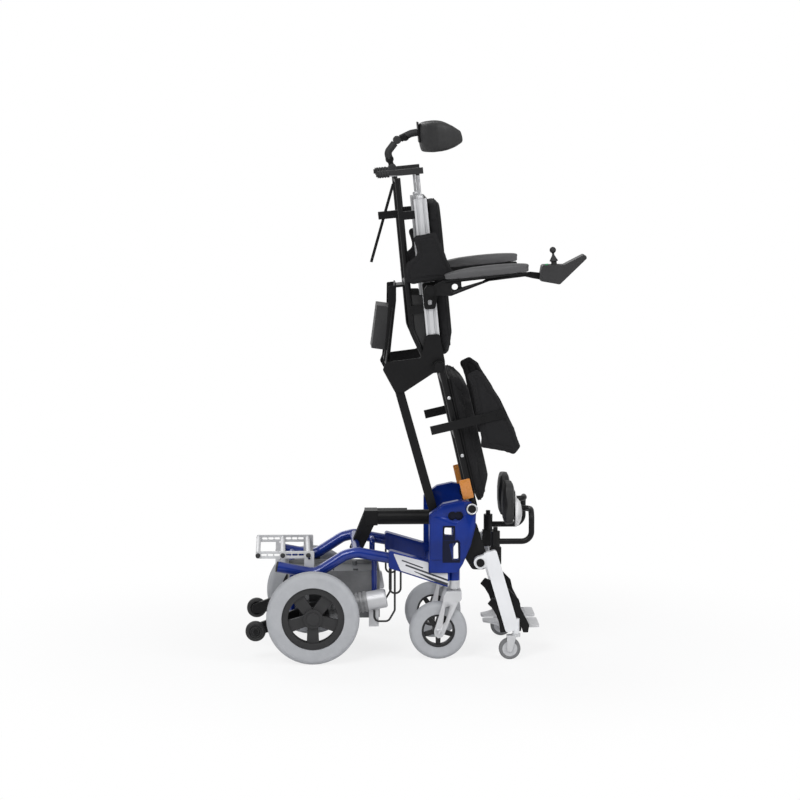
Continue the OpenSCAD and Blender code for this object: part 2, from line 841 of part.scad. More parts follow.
// Spoked rim: rim ring, hub and flared spokes
module spoked_rim(rim_r, rim_w, ring_t, hub_r, hub_w, bore_r, count, root_w, tip_w, spoke_t, spoke_shift)
  difference() {
    union() {
      rotate_extrude() translate([rim_r - ring_t, -rim_w / 2]) square([ring_t, rim_w]);
      translate([0, 0, -hub_w / 2]) cylinder(h = hub_w, r = hub_r);
      for (i = [0:count - 1])
        rotate([0, 0, -90 + 360 * i / count])
          translate([0, 0, spoke_shift - spoke_t / 2]) linear_extrude(spoke_t) polygon([
            [hub_r / 2, -root_w / 2], [rim_r - ring_t / 2, -tip_w / 2],
            [rim_r - ring_t / 2, tip_w / 2], [hub_r / 2, root_w / 2]
          ]);
    }
    translate([0, 0, -hub_w]) cylinder(h = 2 * hub_w, r = bore_r);
  }
drive_rim_w = 44;
drive_ring_t = 22;
drive_hub_r = 33;
drive_hub_w = 46;
drive_spokes = 5;
drive_spoke_root = 36;
drive_spoke_tip = 44;
drive_spoke_t = 14;
drive_cap_r = 22;
drive_cap_t = 6;
module drive_rim(side)
  color("black") in_base() on_side(side) translate([0, drive_y, drive_d / 2]) wheel_turn() union() {
    spoked_rim(
      drive_rim_d / 2, drive_rim_w, drive_ring_t, drive_hub_r, drive_hub_w,
      drive_shaft_r + running_gap, drive_spokes, drive_spoke_root, drive_spoke_tip,
      drive_spoke_t, drive_spoke_t - drive_rim_w / 2
    );
    translate([0, 0, -drive_hub_w / 2 - drive_cap_t + overrun])
      cylinder(h = drive_cap_t, r = drive_cap_r);
  }

// Front caster: stem and crown, two arms with a three-cornered slot, axle, rim and tyre
crown_top = 240;
crown_t = 26;
crown_w = 72;
crown_front = 32;
crown_rear = 82;
crown_round = 22;
stem_top = 336;
arm_t = 8;
arm_gap = 3;
arm_in = caster_w / 2 + arm_gap;
arm_eye_r = 21;
axle_r = 8;
arm_root_front = 4;
arm_root_rear = 80;
arm_slot_shares = [[0.28, 0.46], [0.42, 0.92], [0.72, 0.92]];
arm_slot_round = 5;
caster_y = caster_track / 2;
arm_h = crown_top - caster_d / 2;
module caster_fork(side)
  color("silver") in_base() on_side(side) translate([caster_ahead, caster_y, 0]) {
    translate([0, 0, crown_top - overrun]) cylinder(h = stem_top - crown_top + overrun, r = stem_r);
    translate([0, 0, crown_top - crown_t]) linear_extrude(crown_t) polygon(rounded(
      rect(-crown_rear, -crown_w / 2, crown_front, crown_w / 2),
      crown_round
    ));
    for (y = [-arm_in - arm_t, arm_in])
      difference() {
        union() {
          side_plate(
            [
              [-caster_trail - arm_eye_r, caster_d / 2],
              [-caster_trail + arm_eye_r, caster_d / 2],
              [-arm_root_front, crown_top - crown_t / 2],
              [-arm_root_rear, crown_top - crown_t / 2]
            ],
            y,
            y + arm_t
          );
          pin(-caster_trail, caster_d / 2, y, y + arm_t, arm_eye_r);
        }
        side_plate(
          rounded(
            moved(
              scaled(arm_slot_shares, [arm_root_rear - arm_root_front, arm_h - crown_t]),
              [-arm_root_rear, caster_d / 2]
            ),
            arm_slot_round
          ),
          y - overrun,
          y + arm_t + overrun
        );
      }
    pin(-caster_trail, caster_d / 2, -arm_in - arm_t - bolt_t, arm_in + arm_t + bolt_t, axle_r);
  }
module caster_tyre(side)
  color("lightgray") in_base() on_side(side)
    translate([caster_ahead - caster_trail, caster_y, caster_d / 2]) wheel_turn()
      ribbed_tyre(caster_d / 2, caster_rim_d / 2, caster_w, caster_edge_r, caster_groove_shares);
caster_rim_w = 36;
caster_ring_t = 8;
caster_hub_r = 20;
caster_hub_w = 50;
caster_spokes = 5;
caster_spoke_root = 18;
caster_spoke_tip = 15;
caster_spoke_t = 14;
module caster_rim(side)
  color("black")
    in_base() on_side(side) translate([caster_ahead - caster_trail, caster_y, caster_d / 2])
      wheel_turn() spoked_rim(
        caster_rim_d / 2, caster_rim_w, caster_ring_t, caster_hub_r, caster_hub_w,
        axle_r + running_gap, caster_spokes, caster_spoke_root, caster_spoke_tip,
        caster_spoke_t, 0
      );

// Seat frame: two tubes, pan, knee shaft with pins and crank, and the thigh-pad bars
seat_tube_y = seat_tube_track / 2;
seat_tube_up = 10;
seat_boss_r = 20;
seat_boss_half = 13.5;
knee_shaft_r = 14;
hip_pin_r = 10;
seat_cross_r = 10;
seat_cross_shares = [0.46, 0.86];
pan_rear = 452;
pan_front = 55;
pan_t = 4;
pan_half_w = 194;
crank_in = yoke_half_t + side_gap;
crank_t = 6;
crank_eye_r = 15;
crank_root_r = 22;
thigh_bar_at = 296;
thigh_bar_low = -77;
thigh_bar_high = 185;
thigh_bar_w = 30;
thigh_bar_t = 6;
thigh_bolt_shares = [0.71, 0.92];
thigh_stub_r = 8;
thigh_out = 236;
knee_head_y = column_y + column_t + side_gap;
knee_washer_r = 20;
knee_washer_t = 4;
seat_top = seat_tube_up + seat_tube_r;
module crank_plate() {
  crank_x = crank_r * sin(seat_angle / 2);
  crank_z = -crank_r * cos(seat_angle / 2);
  side = unit([-crank_z, crank_x]) * crank_eye_r;
  side_plate(
    [side, [crank_x, crank_z] + side, [crank_x, crank_z] - side, -side],
    crank_in,
    crank_in + crank_t
  );
  pin(0, 0, crank_in, crank_in + crank_t, crank_root_r);
  pin(crank_x, crank_z, crank_in, crank_in + crank_t, crank_eye_r);
  pin(crank_x, crank_z, 0, crank_in + crank_t, crank_pin_r);
}
module seat_half() {
  rod([-seat_l, seat_tube_y, seat_tube_up], [0, seat_tube_y, seat_tube_up], seat_tube_r);
  for (x = [-seat_l, 0])
    pin(x, 0, seat_tube_y - seat_boss_half, seat_tube_y + seat_boss_half, seat_boss_r);
  pin(0, 0, 0, seat_tube_y, knee_shaft_r);
  pin(0, 0, seat_tube_y, knee_head_y, knee_pin_r);
  pin(0, 0, knee_head_y, knee_head_y + knee_washer_t, knee_washer_r);
  for (share = seat_cross_shares)
    pin(-seat_l * share, seat_tube_up, 0, seat_tube_y, seat_cross_r);
  crank_plate();
  translate([-pan_rear, 0, seat_top - overrun])
    cube([pan_rear - pan_front, pan_half_w, pan_t + overrun]);
  pin(-thigh_bar_at, seat_tube_up, seat_tube_y, thigh_out + thigh_bar_t / 2, thigh_stub_r);
  side_plate(
    rect(
      -thigh_bar_at - thigh_bar_w / 2, thigh_bar_low,
      -thigh_bar_at + thigh_bar_w / 2, thigh_bar_high
    ),
    thigh_out,
    thigh_out + thigh_bar_t
  );
  for (share = thigh_bolt_shares)
    pin(
      -thigh_bar_at, thigh_bar_low + (thigh_bar_high - thigh_bar_low) * share,
      thigh_out + thigh_bar_t - overrun, thigh_out + thigh_bar_t + bolt_t, bolt_r
    );
}
module seat_frame()
  color("black") in_seat() difference() {
    both_sides() seat_half();
    both_sides() pin(
      -seat_l, 0, seat_tube_y - seat_boss_half - overrun, seat_tube_y + seat_boss_half + overrun,
      hip_pin_r + running_gap
    );
  }

// Seat cushion: crowned foam with a thin nose at the knee and a thinned hip end
cushion_rear = 470;
cushion_front = 4;
cushion_square = 9;
cushion_draw_share = 0.015;
cushion_nose_l = 70;
cushion_nose_share = 0.4;
cushion_hip_l = 40;
cushion_hip_share = 0.6;
module seat_cushion()
  color("dimgray")
    in_seat() translate([-(cushion_rear + cushion_front) / 2, 0, seat_top + pan_t + seat_gap])
      soft_pad(
        soft_outline(cushion_rear - cushion_front, cushion_w, cushion_square, cushion_draw_share),
        cushion_t,
        crowned_ring_shares,
        [cushion_hip_l, cushion_hip_share, cushion_nose_l, cushion_nose_share]
      );

// Thigh pads: flat pads beside the thighs, deeper towards the knee, with a sewn border
thigh_pad_t = 19;
thigh_pad_y = thigh_out - seat_gap - thigh_pad_t * crown_share;
thigh_pad_l = 326;
thigh_pad_h = 142;
thigh_pad_rear = -484;
thigh_pad_low = 75;
thigh_pad_round = 12;
thigh_outline_shares = [
  [0.07, 0.1], [0.9, 0.01], [1.04, 0.8], [0.97, 0.99], [0.75, 0.96], [0.41, 0.79],
  [0.14, 0.56], [0.05, 0.38]
];
module thigh_pads() {
  outline = rounded(scaled(thigh_outline_shares, [thigh_pad_l, thigh_pad_h]), thigh_pad_round);
  middle = centre_of(outline);
  color("dimgray") in_seat() both_sides()
    translate([thigh_pad_rear + middle[0], thigh_pad_y, thigh_pad_low + middle[1]])
      mirror([0, 1, 0]) rotate([90, 0, 0])
        soft_pad(moved(outline, -middle), thigh_pad_t, sewn_ring_shares);
}

// Back posts: slotted aluminium extrusions
post_y = 149;
post_w = 45;
post_t = 25;
post_fwd = -8;
post_foot = 15;
post_slot_w = 9;
post_slot_deep = 6;
post_face = post_fwd + post_w / 2;
post_out = post_y + post_t / 2;
module back_posts()
  color("silver") in_back() both_sides() translate([post_fwd, post_y, post_foot])
    linear_extrude(post_top - post_foot) difference() {
      square([post_w, post_t], center = true);
      for (side = [-1, 1]) {
        translate([side * post_w / 4, post_t / 2])
          square([post_slot_w, 2 * post_slot_deep], center = true);
        translate([side * post_w / 2, 0]) square([2 * post_slot_deep, post_slot_w], center = true);
        translate([side * post_w / 4, -post_t / 2])
          square([post_slot_w, 2 * post_slot_deep], center = true);
      }
    }

// Back cushion: tall crowned pad with a round top, thinned at the hip
back_foot = 12;
back_square = 7;
back_draw_share = 0.015;
back_thin_l = 90;
back_thin_share = 0.3;
shell_t = 2;
shell_in = 14;
module back_cushion()
  color("dimgray") in_back() translate([post_face + shell_t + seat_gap, 0, back_foot + back_h / 2])
    rotate([0, 90, 0]) soft_pad(
      soft_outline(back_h, back_w, back_square, back_draw_share),
      back_t,
      crowned_ring_shares,
      [0, 1, back_thin_l, back_thin_share]
    );

// Back canes: black tubes behind the posts with cross bars, back shell, and the headrest slide
cane_r = 10;
cane_fwd = -78;
cane_y = 150;
cane_top = 655;
cane_turn = 128;
cane_foot_fwd = -42;
cane_foot_up = 26;
cane_bend = 60;
cane_bar_r = 8;
cane_bar_ups = [285, 525, 640];
cane_clamp_ups = [200, 525];
cane_clamp_h = 28;
cane_clamp_w = 22;
shell_foot = 40;
rest_eye_fwd = -88;
rest_eye_up = 687;
rest_eye_r = 12;
rest_pin_r = 6;
rest_half_t = 8;
rest_stem_r = 9;
rest_tube_r = 7;
slide_clamp_l = 74;
slide_clamp_w = 28;
slide_clamp_h = 26;
slide_r = 5;
slide_top_fwd = -90;
slide_top_up = 630;
slide_low_fwd = -192;
slide_low_up = 367;
slide_knob_r = 11;
slide_knob_l = 22;
module back_canes()
  color("black") in_back() {
    union() {
      both_sides() {
        bent_tube(
          [
            [cane_fwd, cane_y, cane_top], [cane_fwd, cane_y, cane_turn],
            [cane_foot_fwd, cane_y, cane_foot_up]
          ],
          cane_r,
          cane_bend
        );
        for (up = cane_bar_ups)
          pin(cane_fwd, up, 0, cane_y, cane_bar_r);
        for (up = cane_clamp_ups)
          translate([cane_fwd, cane_y - cane_clamp_w / 2, up - cane_clamp_h / 2])
            cube([post_fwd - post_w / 2 - cane_fwd, cane_clamp_w, cane_clamp_h]);
      }
      rod(
        [cane_fwd, 0, cane_bar_ups[2]],
        [rest_eye_fwd, 0, rest_eye_up - (rest_eye_r + rest_pin_r) / 2], rest_tube_r
      );
      eye_end(rest_eye_fwd, rest_eye_up);
    }
    difference() {
      union() {
        rod([slide_low_fwd, 0, slide_low_up], [slide_top_fwd, 0, slide_top_up], slide_r);
        translate([cane_fwd - slide_clamp_l, -slide_clamp_w / 2, cane_bar_ups[1] - slide_clamp_h / 2])
          cube([slide_clamp_l, slide_clamp_w, slide_clamp_h]);
        pin(
          cane_fwd - slide_clamp_l + slide_knob_r, cane_bar_ups[1], slide_clamp_w / 2 - overrun,
          slide_clamp_w / 2 + slide_knob_l, slide_knob_r
        );
      }
      pin(cane_fwd, cane_bar_ups[1], -slide_clamp_w, slide_clamp_w, cane_bar_r + running_gap);
    }
    translate([post_face, -back_w / 2 + shell_in, shell_foot])
      cube([shell_t, back_w - 2 * shell_in, post_top - shell_foot]);
  }

// Back brackets: hip plates with both pivot pins, pad bars, armrest posts and the box plate
hip_plate_t = 7;
hip_head_y = seat_tube_y + seat_boss_half + side_gap;
hip_plate_low_fwd = -192;
hip_plate_low_up = -80;
hip_plate_w = 216;
hip_plate_h = 190;
hip_outline_shares = [
  [0.99, 0.3], [1, 0.5], [0.955, 1], [0.75, 1], [0.62, 0.6], [0.06, 0.58],
  [0, 0.45], [0.16, 0.02], [0.3, 0], [0.8, 0.3]
];
hip_round = 9;
trunk_bar_ups = [318, 436];
trunk_bar_r = 7;
trunk_in = 205;
arm_pivot_up = 267;
arm_post_r = 14;
arm_y = arm_track / 2;
arm_hub_t = 22;
arm_hub_r = 20;
arm_pin_r = 10;
arm_hub_gap = 3;
arm_hub_in = arm_y - arm_hub_t - arm_hub_gap;
arm_head_y = arm_hub_in + arm_hub_t + side_gap;
gusset_t = 8;
gusset_h = 92;
gusset_w = 64;
gusset_hole_r = 9;
plate_top_fwd = -115;
plate_top_up = 291;
plate_low_fwd = -177;
plate_low_up = 21;
plate_t = 4;
plate_top_half = 60;
plate_low_half = post_out + hip_plate_t / 2;
plate_tab_t = 8;
module back_brackets()
  color("black") in_back() {
    both_sides() {
      union() {
        side_plate(
          rounded(
            moved(
              scaled(hip_outline_shares, [hip_plate_w, hip_plate_h]),
              [hip_plate_low_fwd, hip_plate_low_up]
            ),
            hip_round
          ),
          post_out,
          post_out + hip_plate_t
        );
        pin(0, 0, post_out, hip_head_y, hip_pin_r);
        pin(0, 0, hip_head_y, hip_head_y + bolt_t, hip_pin_r + bolt_t);
        pin(link_back_fwd, link_back_up, link_y - link_stub, post_out + overrun, link_back_pin_r);
      }
      for (up = trunk_bar_ups)
        pin(post_fwd, up, post_out, trunk_in - seat_gap, trunk_bar_r);
      difference() {
        union() {
          pin(post_fwd, arm_pivot_up, post_out, arm_hub_in - side_gap, arm_post_r);
          pin(post_fwd, arm_pivot_up, post_out, arm_head_y, arm_pin_r);
          pin(post_fwd, arm_pivot_up, arm_head_y, arm_head_y + bolt_t, arm_pin_r + bolt_t);
          side_plate(
            rounded(
              [
                [post_fwd - gusset_w / 3, arm_pivot_up + gusset_h / 4],
                [post_fwd - gusset_w / 3, arm_pivot_up - 3 * gusset_h / 4],
                [post_fwd + gusset_w / 4, arm_pivot_up - 3 * gusset_h / 4],
                [post_fwd + 2 * gusset_w / 3, arm_pivot_up + gusset_h / 4]
              ],
              hip_round
            ),
            post_out,
            post_out + gusset_t
          );
        }
        pin(
          post_fwd, arm_pivot_up - gusset_h / 2, post_out - overrun, post_out + gusset_t + overrun,
          gusset_hole_r
        );
      }
    }
    box_plate();
  }
plate_lean = atan2(plate_top_fwd - plate_low_fwd, plate_top_up - plate_low_up);
plate_l = norm([plate_top_fwd - plate_low_fwd, plate_top_up - plate_low_up]);
// Plate square to the back that carries the rear box, with a tab on the canes' cross bar
module on_plate()
  translate([plate_low_fwd, 0, plate_low_up]) rotate([0, plate_lean, 0]) children();
module box_plate() {
  difference() {
    union() {
      on_plate() rotate([0, -90, 0]) linear_extrude(plate_t) polygon([
        [0, -plate_low_half], [plate_l, -plate_top_half], [plate_l, plate_top_half], [0, plate_low_half]
      ]);
      translate([plate_top_fwd - plate_t, -plate_top_half, plate_top_up - 2 * plate_tab_t])
        cube([cane_fwd - plate_top_fwd + plate_t, 2 * plate_top_half, plate_tab_t]);
    }
    pin(cane_fwd, cane_bar_ups[0], -cane_y, cane_y, cane_bar_r + running_gap);
  }
}

// Rear box: ribbed control box on the box plate
box_t = 52;
box_l = 150;
box_half_w = 88;
box_up = 44;
box_round = 9;
box_rib = 3;
box_rib_deep = 3;
box_ribs = 5;
module rear_box()
  color("dimgray") in_back() on_plate() translate([-plate_t - box_t, 0, box_up]) difference() {
    linear_extrude(box_l) polygon(rounded(rect(0, -box_half_w, box_t, box_half_w), box_round));
    for (i = [1:box_ribs])
      translate([-overrun, -box_half_w - overrun, box_l * i / (box_ribs + 1)])
        cube([box_rib_deep + overrun, 2 * box_half_w + 2 * overrun, box_rib]);
  }

// Trunk pads: side supports on the posts
trunk_pad_t = 19;
trunk_rear = -90;
trunk_low = 285;
trunk_w = 172;
trunk_h = 180;
trunk_round = 13;
trunk_outline_shares = [
  [0.17, 0], [0.87, 0.04], [1, 0.19], [0.87, 0.64], [0.74, 1], [0.28, 1],
  [0.26, 0.61], [0.03, 0.42], [0, 0.08]
];
module trunk_pads() {
  outline = rounded(scaled(trunk_outline_shares, [trunk_w, trunk_h]), trunk_round);
  middle = centre_of(outline);
  color("black")
    in_back() both_sides() translate([trunk_rear + middle[0], trunk_in, trunk_low + middle[1]])
      mirror([0, 1, 0]) rotate([90, 0, 0])
        soft_pad(moved(outline, -middle), trunk_pad_t, twin_ring_shares);
}

// Push handles: rods in the posts with a square bar rearward, and their grips
handle_up = 673;
handle_h = 21;
handle_front = 12;
handle_rear = -105;
handle_rod_r = 6.5;
grip_end = -150;
grip_r = 13;
grip_edge = 5;
grip_ring_shares = [0.2, 0.4, 0.6, 0.8];
grip_ring = 2;
module push_handles()
  color("silver") in_back() both_sides() {
    translate([post_fwd, post_y, post_top]) cylinder(h = handle_up - post_top, r = handle_rod_r);
    translate([handle_rear, post_y - handle_h / 2, handle_up - handle_h / 2])
      cube([handle_front - handle_rear, handle_h, handle_h]);
  }
module handle_grips()
  color("black") in_back() both_sides()
    translate([handle_rear, post_y, handle_up]) rotate([0, -90, 0]) difference() {
      union() {
        cylinder(h = handle_rear - grip_end - grip_edge, r = grip_r);
        cylinder(h = handle_rear - grip_end, r = grip_r - grip_edge);
      }
      for (share = grip_ring_shares)
        translate([0, 0, (handle_rear - grip_end) * share])
          rotate_extrude() translate([grip_r, 0]) circle(r = grip_ring);
    }

// Headrest arms: two jointed links from the top cross bar to the pad plate
mid_eye_fwd = -62;
mid_eye_up = 780;
low_turn_fwd = -99;
low_turn_up = 740;
pad_plate_fwd = 14;
pad_plate_up = 800;
pad_plate_t = 5;
pad_plate_w = 80;
pad_plate_h = 70;
cheek_gap = 0.5;
cheek_t = 6;
cheek_l = 30;
rest_arm_bend = 24;
cheek_out = rest_half_t + cheek_gap + cheek_t;
// Forked end of an arm with its pin, along a direction in the XZ plane
module fork_end(fwd, up, dir) {
  for (y = [-cheek_out, rest_half_t + cheek_gap]) {
    pin(fwd, up, y, y + cheek_t, rest_eye_r);
    side = [dir[1], -dir[0]] * rest_stem_r;
    at = [fwd, up];
    side_plate(
      [at - side, at + side, at + dir * cheek_l + side, at + dir * cheek_l - side],
      y,
      y + cheek_t
    );
  }
  tip = [fwd, up] + dir * cheek_l;
  translate([tip[0], 0, tip[1]]) sphere(r = cheek_out);
  pin(fwd, up, -cheek_out, cheek_out, rest_pin_r);
}
module eye_end(fwd, up)
  difference() {
    pin(fwd, up, -rest_half_t, rest_half_t, rest_eye_r);
    pin(fwd, up, -2 * rest_half_t, 2 * rest_half_t, rest_pin_r + running_gap);
  }
module headrest_lower_arm() {
  dir = unit([low_turn_fwd - rest_eye_fwd, low_turn_up - rest_eye_up]);
  tip = [rest_eye_fwd, rest_eye_up] + dir * cheek_l;
  up_dir = unit([mid_eye_fwd - low_turn_fwd, mid_eye_up - low_turn_up]);
  color("black") in_back() difference() {
    union() {
      fork_end(rest_eye_fwd, rest_eye_up, dir);
      bent_tube(
        [
          [tip[0], 0, tip[1]], [low_turn_fwd, 0, low_turn_up],
          [mid_eye_fwd - up_dir[0] * rest_eye_r / 2, 0, mid_eye_up - up_dir[1] * rest_eye_r / 2]
        ],
        rest_tube_r,
        rest_arm_bend
      );
      pin(mid_eye_fwd, mid_eye_up, -rest_half_t, rest_half_t, rest_eye_r);
    }
    pin(mid_eye_fwd, mid_eye_up, -2 * rest_half_t, 2 * rest_half_t, rest_pin_r + running_gap);
  }
}
module headrest_upper_arm() {
  dir = unit([pad_plate_fwd - mid_eye_fwd, pad_plate_up - mid_eye_up]);
  tip = [mid_eye_fwd, mid_eye_up] + dir * cheek_l;
  color("black") in_back() {
    union() {
      fork_end(mid_eye_fwd, mid_eye_up, dir);
      rod([tip[0], 0, tip[1]], [pad_plate_fwd, 0, pad_plate_up], rest_stem_r);
      translate([pad_plate_fwd - pad_plate_t / 2, -pad_plate_w / 2, pad_plate_up - pad_plate_h / 2])
        cube([pad_plate_t, pad_plate_w, pad_plate_h]);
    }
  }
}
// Headrest pad: one padded roll bent round the head, with wings
pad_mid_up = 781;
pad_h = 108;
pad_t = 46;
pad_reach = 152;
pad_half_w = 118;
pad_turn = 84;
pad_rings = 18;
pad_sides = 16;
pad_square = 3.2;
pad_end_share = 0.35;
pad_bow = 0.55;
function pad_path(s) =
  let (a = s * pad_turn)
  [
    (pad_reach - pad_t) * pow(1 - cos(a * 90 / pad_turn), 2 * pad_bow),
    pad_half_w * sin(a * 90 / pad_turn)
  ];
function pad_dir(s, step) = unit(pad_path(s + step) - pad_path(s - step));
function pad_full(s) = 1 - pow(abs(s), 6) * (1 - pad_end_share);
module headrest_pad() {
  step = 1 / pad_rings / 4;
  points = [
    for (i = [0:pad_rings])
      let (
        s = -1 + 2 * i / pad_rings,
        p = pad_path(s),
        d = pad_dir(s, step),
        out = [d[1], -d[0]],
        full = pad_full(s)
      )
        for (j = [0:pad_sides - 1])
          let (q = soft_point(360 * (j + 0.5) / pad_sides, pad_t * full, pad_h * full, pad_square, 0))
            [p[0] + out[0] * q[0], p[1] + out[1] * q[0], q[1]]
  ];
  n = pad_sides;
  sides = [
    for (k = [0:pad_rings - 1])
      for (j = [0:n - 1])
        each [
          [k * n + j, (k + 1) * n + j, (k + 1) * n + (j + 1) % n],
          [k * n + j, (k + 1) * n + (j + 1) % n, k * n + (j + 1) % n]
        ]
  ];
  caps = [
    for (j = [1:n - 2])
      each [[0, j, j + 1], [pad_rings * n, pad_rings * n + j + 1, pad_rings * n + j]]
  ];
  color("dimgray")
    in_back() translate([pad_plate_fwd + pad_plate_t / 2 + seat_gap + pad_t / 2, 0, pad_mid_up])
      polyhedron(points = points, faces = concat(sides, caps), convexity = 4);
}

// Armrests: pivoting arms with padded tops
arm_pad_rear = 41;
arm_pad_up = 299;
arm_pad_t = 35;
arm_pad_square = 5;
arm_bar_h = 24;
arm_bar_t = 12;
arm_bar_end = 352;
arm_plate_t = 4;
arm_bar_y = arm_hub_in + (arm_hub_t - arm_bar_t) / 2;
arm_top = arm_pad_up - seat_gap;
arm_round = 7;
arm_hole_fwds = [86, 122, 156];
arm_hole_up = 279;
arm_hole_r = 10;
module armrest_frame(side, reach)
  color("black") in_back() on_side(side) difference() {
    union() {
      pin(post_fwd, arm_pivot_up, arm_hub_in, arm_hub_in + arm_hub_t, arm_hub_r);
      side_plate(
        rounded(
          [
            [post_fwd - arm_hub_r / 2, arm_pivot_up], [post_fwd, arm_pivot_up - arm_hub_r],
            [arm_pad_rear + arm_hub_r, arm_pivot_up - arm_hub_r / 2],
            [reach, arm_top - arm_bar_h], [reach, arm_top],
            [arm_pad_rear, arm_top], [post_fwd + arm_hub_r, arm_pivot_up + arm_hub_r]
          ],
          arm_round
        ),
        arm_bar_y,
        arm_bar_y + arm_bar_t
      );
      translate([arm_pad_rear + arm_round, arm_y - arm_pad_w / 3, arm_top - arm_plate_t])
        cube([arm_pad_l - 3 * arm_round, 2 * arm_pad_w / 3, arm_plate_t]);
    }
    pin(
      post_fwd, arm_pivot_up, arm_hub_in - overrun, arm_hub_in + arm_hub_t + overrun,
      arm_pin_r + running_gap
    );
    for (fwd = arm_hole_fwds)
      pin(fwd, arm_hole_up, arm_hub_in, arm_hub_in + arm_hub_t, arm_hole_r);
  }
module armrest_pad(side)
  color("dimgray") in_back()
    on_side(side) translate([arm_pad_rear + arm_pad_l / 2, arm_y, arm_pad_up]) soft_pad(
      soft_outline(arm_pad_l, arm_pad_w, arm_pad_square, 0),
      arm_pad_t,
      crowned_ring_shares,
      [arm_pad_l / 4, 3 / 4, 0, 1]
    );

// Control pod on the right armrest with joystick, gimbal and power button
pod_y = -arm_y;
pod_half_w = 33;
pod_rear = 364;
pod_low = 249;
pod_l = pod_nose_fwd - pod_rear;
pod_h = pod_nose_up - pod_low;
pod_round = 8;
pod_outline_shares = [[0, 0.23], [0.09, 0.86], [0.56, 0.78], [0.981, 1.102], [1.038, 0.922], [0.43, 0]];
stick_fwd = 421;
stick_up = 314;
stick_pocket_r = 18;
stick_pocket_deep = 20;
gimbal_out_r = 15;
gimbal_in_r = 11;
gimbal_half_h = 4;
gimbal_pin_r = 2.5;
gimbal_reach = 21;
gimbal_drop = 10;
stick_ball_r = 8;
stick_r = 4;
stick_top = 62;
knob_r = 11;
boot_r = 15;
boot_h = 20;
boot_lift = 15;
button_fwd = 394;
button_y = -18;
button_r = 6;
button_h = 8;
button_proud = 2.5;
pod_top_share = 0.86;
button_up = pod_low + pod_h * pod_top_share;
module control_pod()
  color("dimgray") in_back() translate([0, pod_y, 0]) difference() {
    union() {
      side_plate(
        rounded(moved(scaled(pod_outline_shares, [pod_l, pod_h]), [pod_rear, pod_low]), pod_round),
        -pod_half_w,
        pod_half_w
      );
      pin(pod_nose_fwd, pod_nose_up, -pod_half_w, pod_half_w, pod_nose_r);
    }
    translate([stick_fwd, 0, stick_up - stick_pocket_deep])
      cylinder(h = 2 * stick_pocket_deep, r = stick_pocket_r);
    rod(
      [stick_fwd - gimbal_reach - side_gap, 0, stick_up - gimbal_drop],
      [stick_fwd + gimbal_reach + side_gap, 0, stick_up - gimbal_drop],
      gimbal_pin_r + running_gap
    );
    translate([button_fwd, button_y, button_up - button_h])
      cylinder(h = 2 * button_h, r = button_r + running_gap);
  }
module joystick_gimbal()
  color("silver") in_back() translate([stick_fwd, pod_y, stick_up - gimbal_drop]) difference() {
    union() {
      translate([0, 0, -gimbal_half_h]) cylinder(h = 2 * gimbal_half_h, r = gimbal_out_r);
      for (dir = [-1, 1])
        rod([dir * gimbal_in_r, 0, 0], [dir * gimbal_reach, 0, 0], gimbal_pin_r);
    }
    translate([0, 0, -2 * gimbal_half_h]) cylinder(h = 4 * gimbal_half_h, r = gimbal_in_r);
    pin(0, 0, -gimbal_out_r - overrun, gimbal_out_r + overrun, gimbal_pin_r + running_gap);
  }
module joystick()
  color("black") in_back() translate([stick_fwd, pod_y, stick_up - gimbal_drop]) {
    sphere(r = stick_ball_r);
    pin(0, 0, -gimbal_out_r + side_gap, gimbal_out_r - side_gap, gimbal_pin_r);
    cylinder(h = stick_top, r = stick_r);
    translate([0, 0, stick_top]) sphere(r = knob_r);
    translate([0, 0, gimbal_drop + boot_lift]) cylinder(h = boot_h, r1 = boot_r, r2 = stick_r);
  }
module power_button()
  color("seagreen")
    in_back() translate([button_fwd, pod_y + button_y, button_up - button_h + button_proud])
      cylinder(h = button_h, r = button_r);

// Leg rest: flat bars on the pivot pins, tied by a cross bar, with floor caster sockets
leg_bar_fwd = 41;
leg_bar_top = 27;
leg_boss_r = 22;
leg_tie_r = 11;
leg_tie_down = 44;
leg_end_round = 9;
socket_r = 12;
socket_low = 90;
socket_h = 52;
floor_swivel_x = 703;
floor_stem_r = 6;
floor_stem_l = 40;
leg_mid_y = leg_y + leg_bar_t / 2;
module in_leg()
  in_base() translate([leg_x, 0, leg_z]) rotate([0, -leg_lean, 0]) children();
module leg_bars()
  color("whitesmoke") difference() {
    union() {
      in_leg() {
        both_sides() {
          side_plate(
            rounded(
              rect(
                leg_bar_fwd - leg_bar_w / 2, leg_bar_top - leg_bar_l,
                leg_bar_fwd + leg_bar_w / 2, leg_bar_top
              ),
              leg_end_round
            ),
            leg_y,
            leg_y + leg_bar_t
          );
          pin(0, 0, leg_y, leg_y + leg_bar_t + boss_proud, leg_boss_r);
          side_plate(rect(0, -leg_boss_r, leg_bar_fwd, leg_boss_r), leg_y, leg_y + leg_bar_t);
        }
        pin(leg_bar_fwd, -leg_tie_down, -leg_y - overrun, leg_y + overrun, leg_tie_r);
      }
      in_base() both_sides() translate([floor_swivel_x, leg_mid_y, socket_low])
        cylinder(h = socket_h, r = socket_r);
    }
    in_leg() both_sides()
      pin(0, 0, leg_y - overrun, leg_y + leg_bar_t + boss_proud + overrun, leg_pin_r + running_gap);
    in_base() both_sides() translate([floor_swivel_x, leg_mid_y, socket_low - overrun])
      cylinder(h = floor_stem_l + side_gap + overrun, r = floor_stem_r + running_gap);
  }

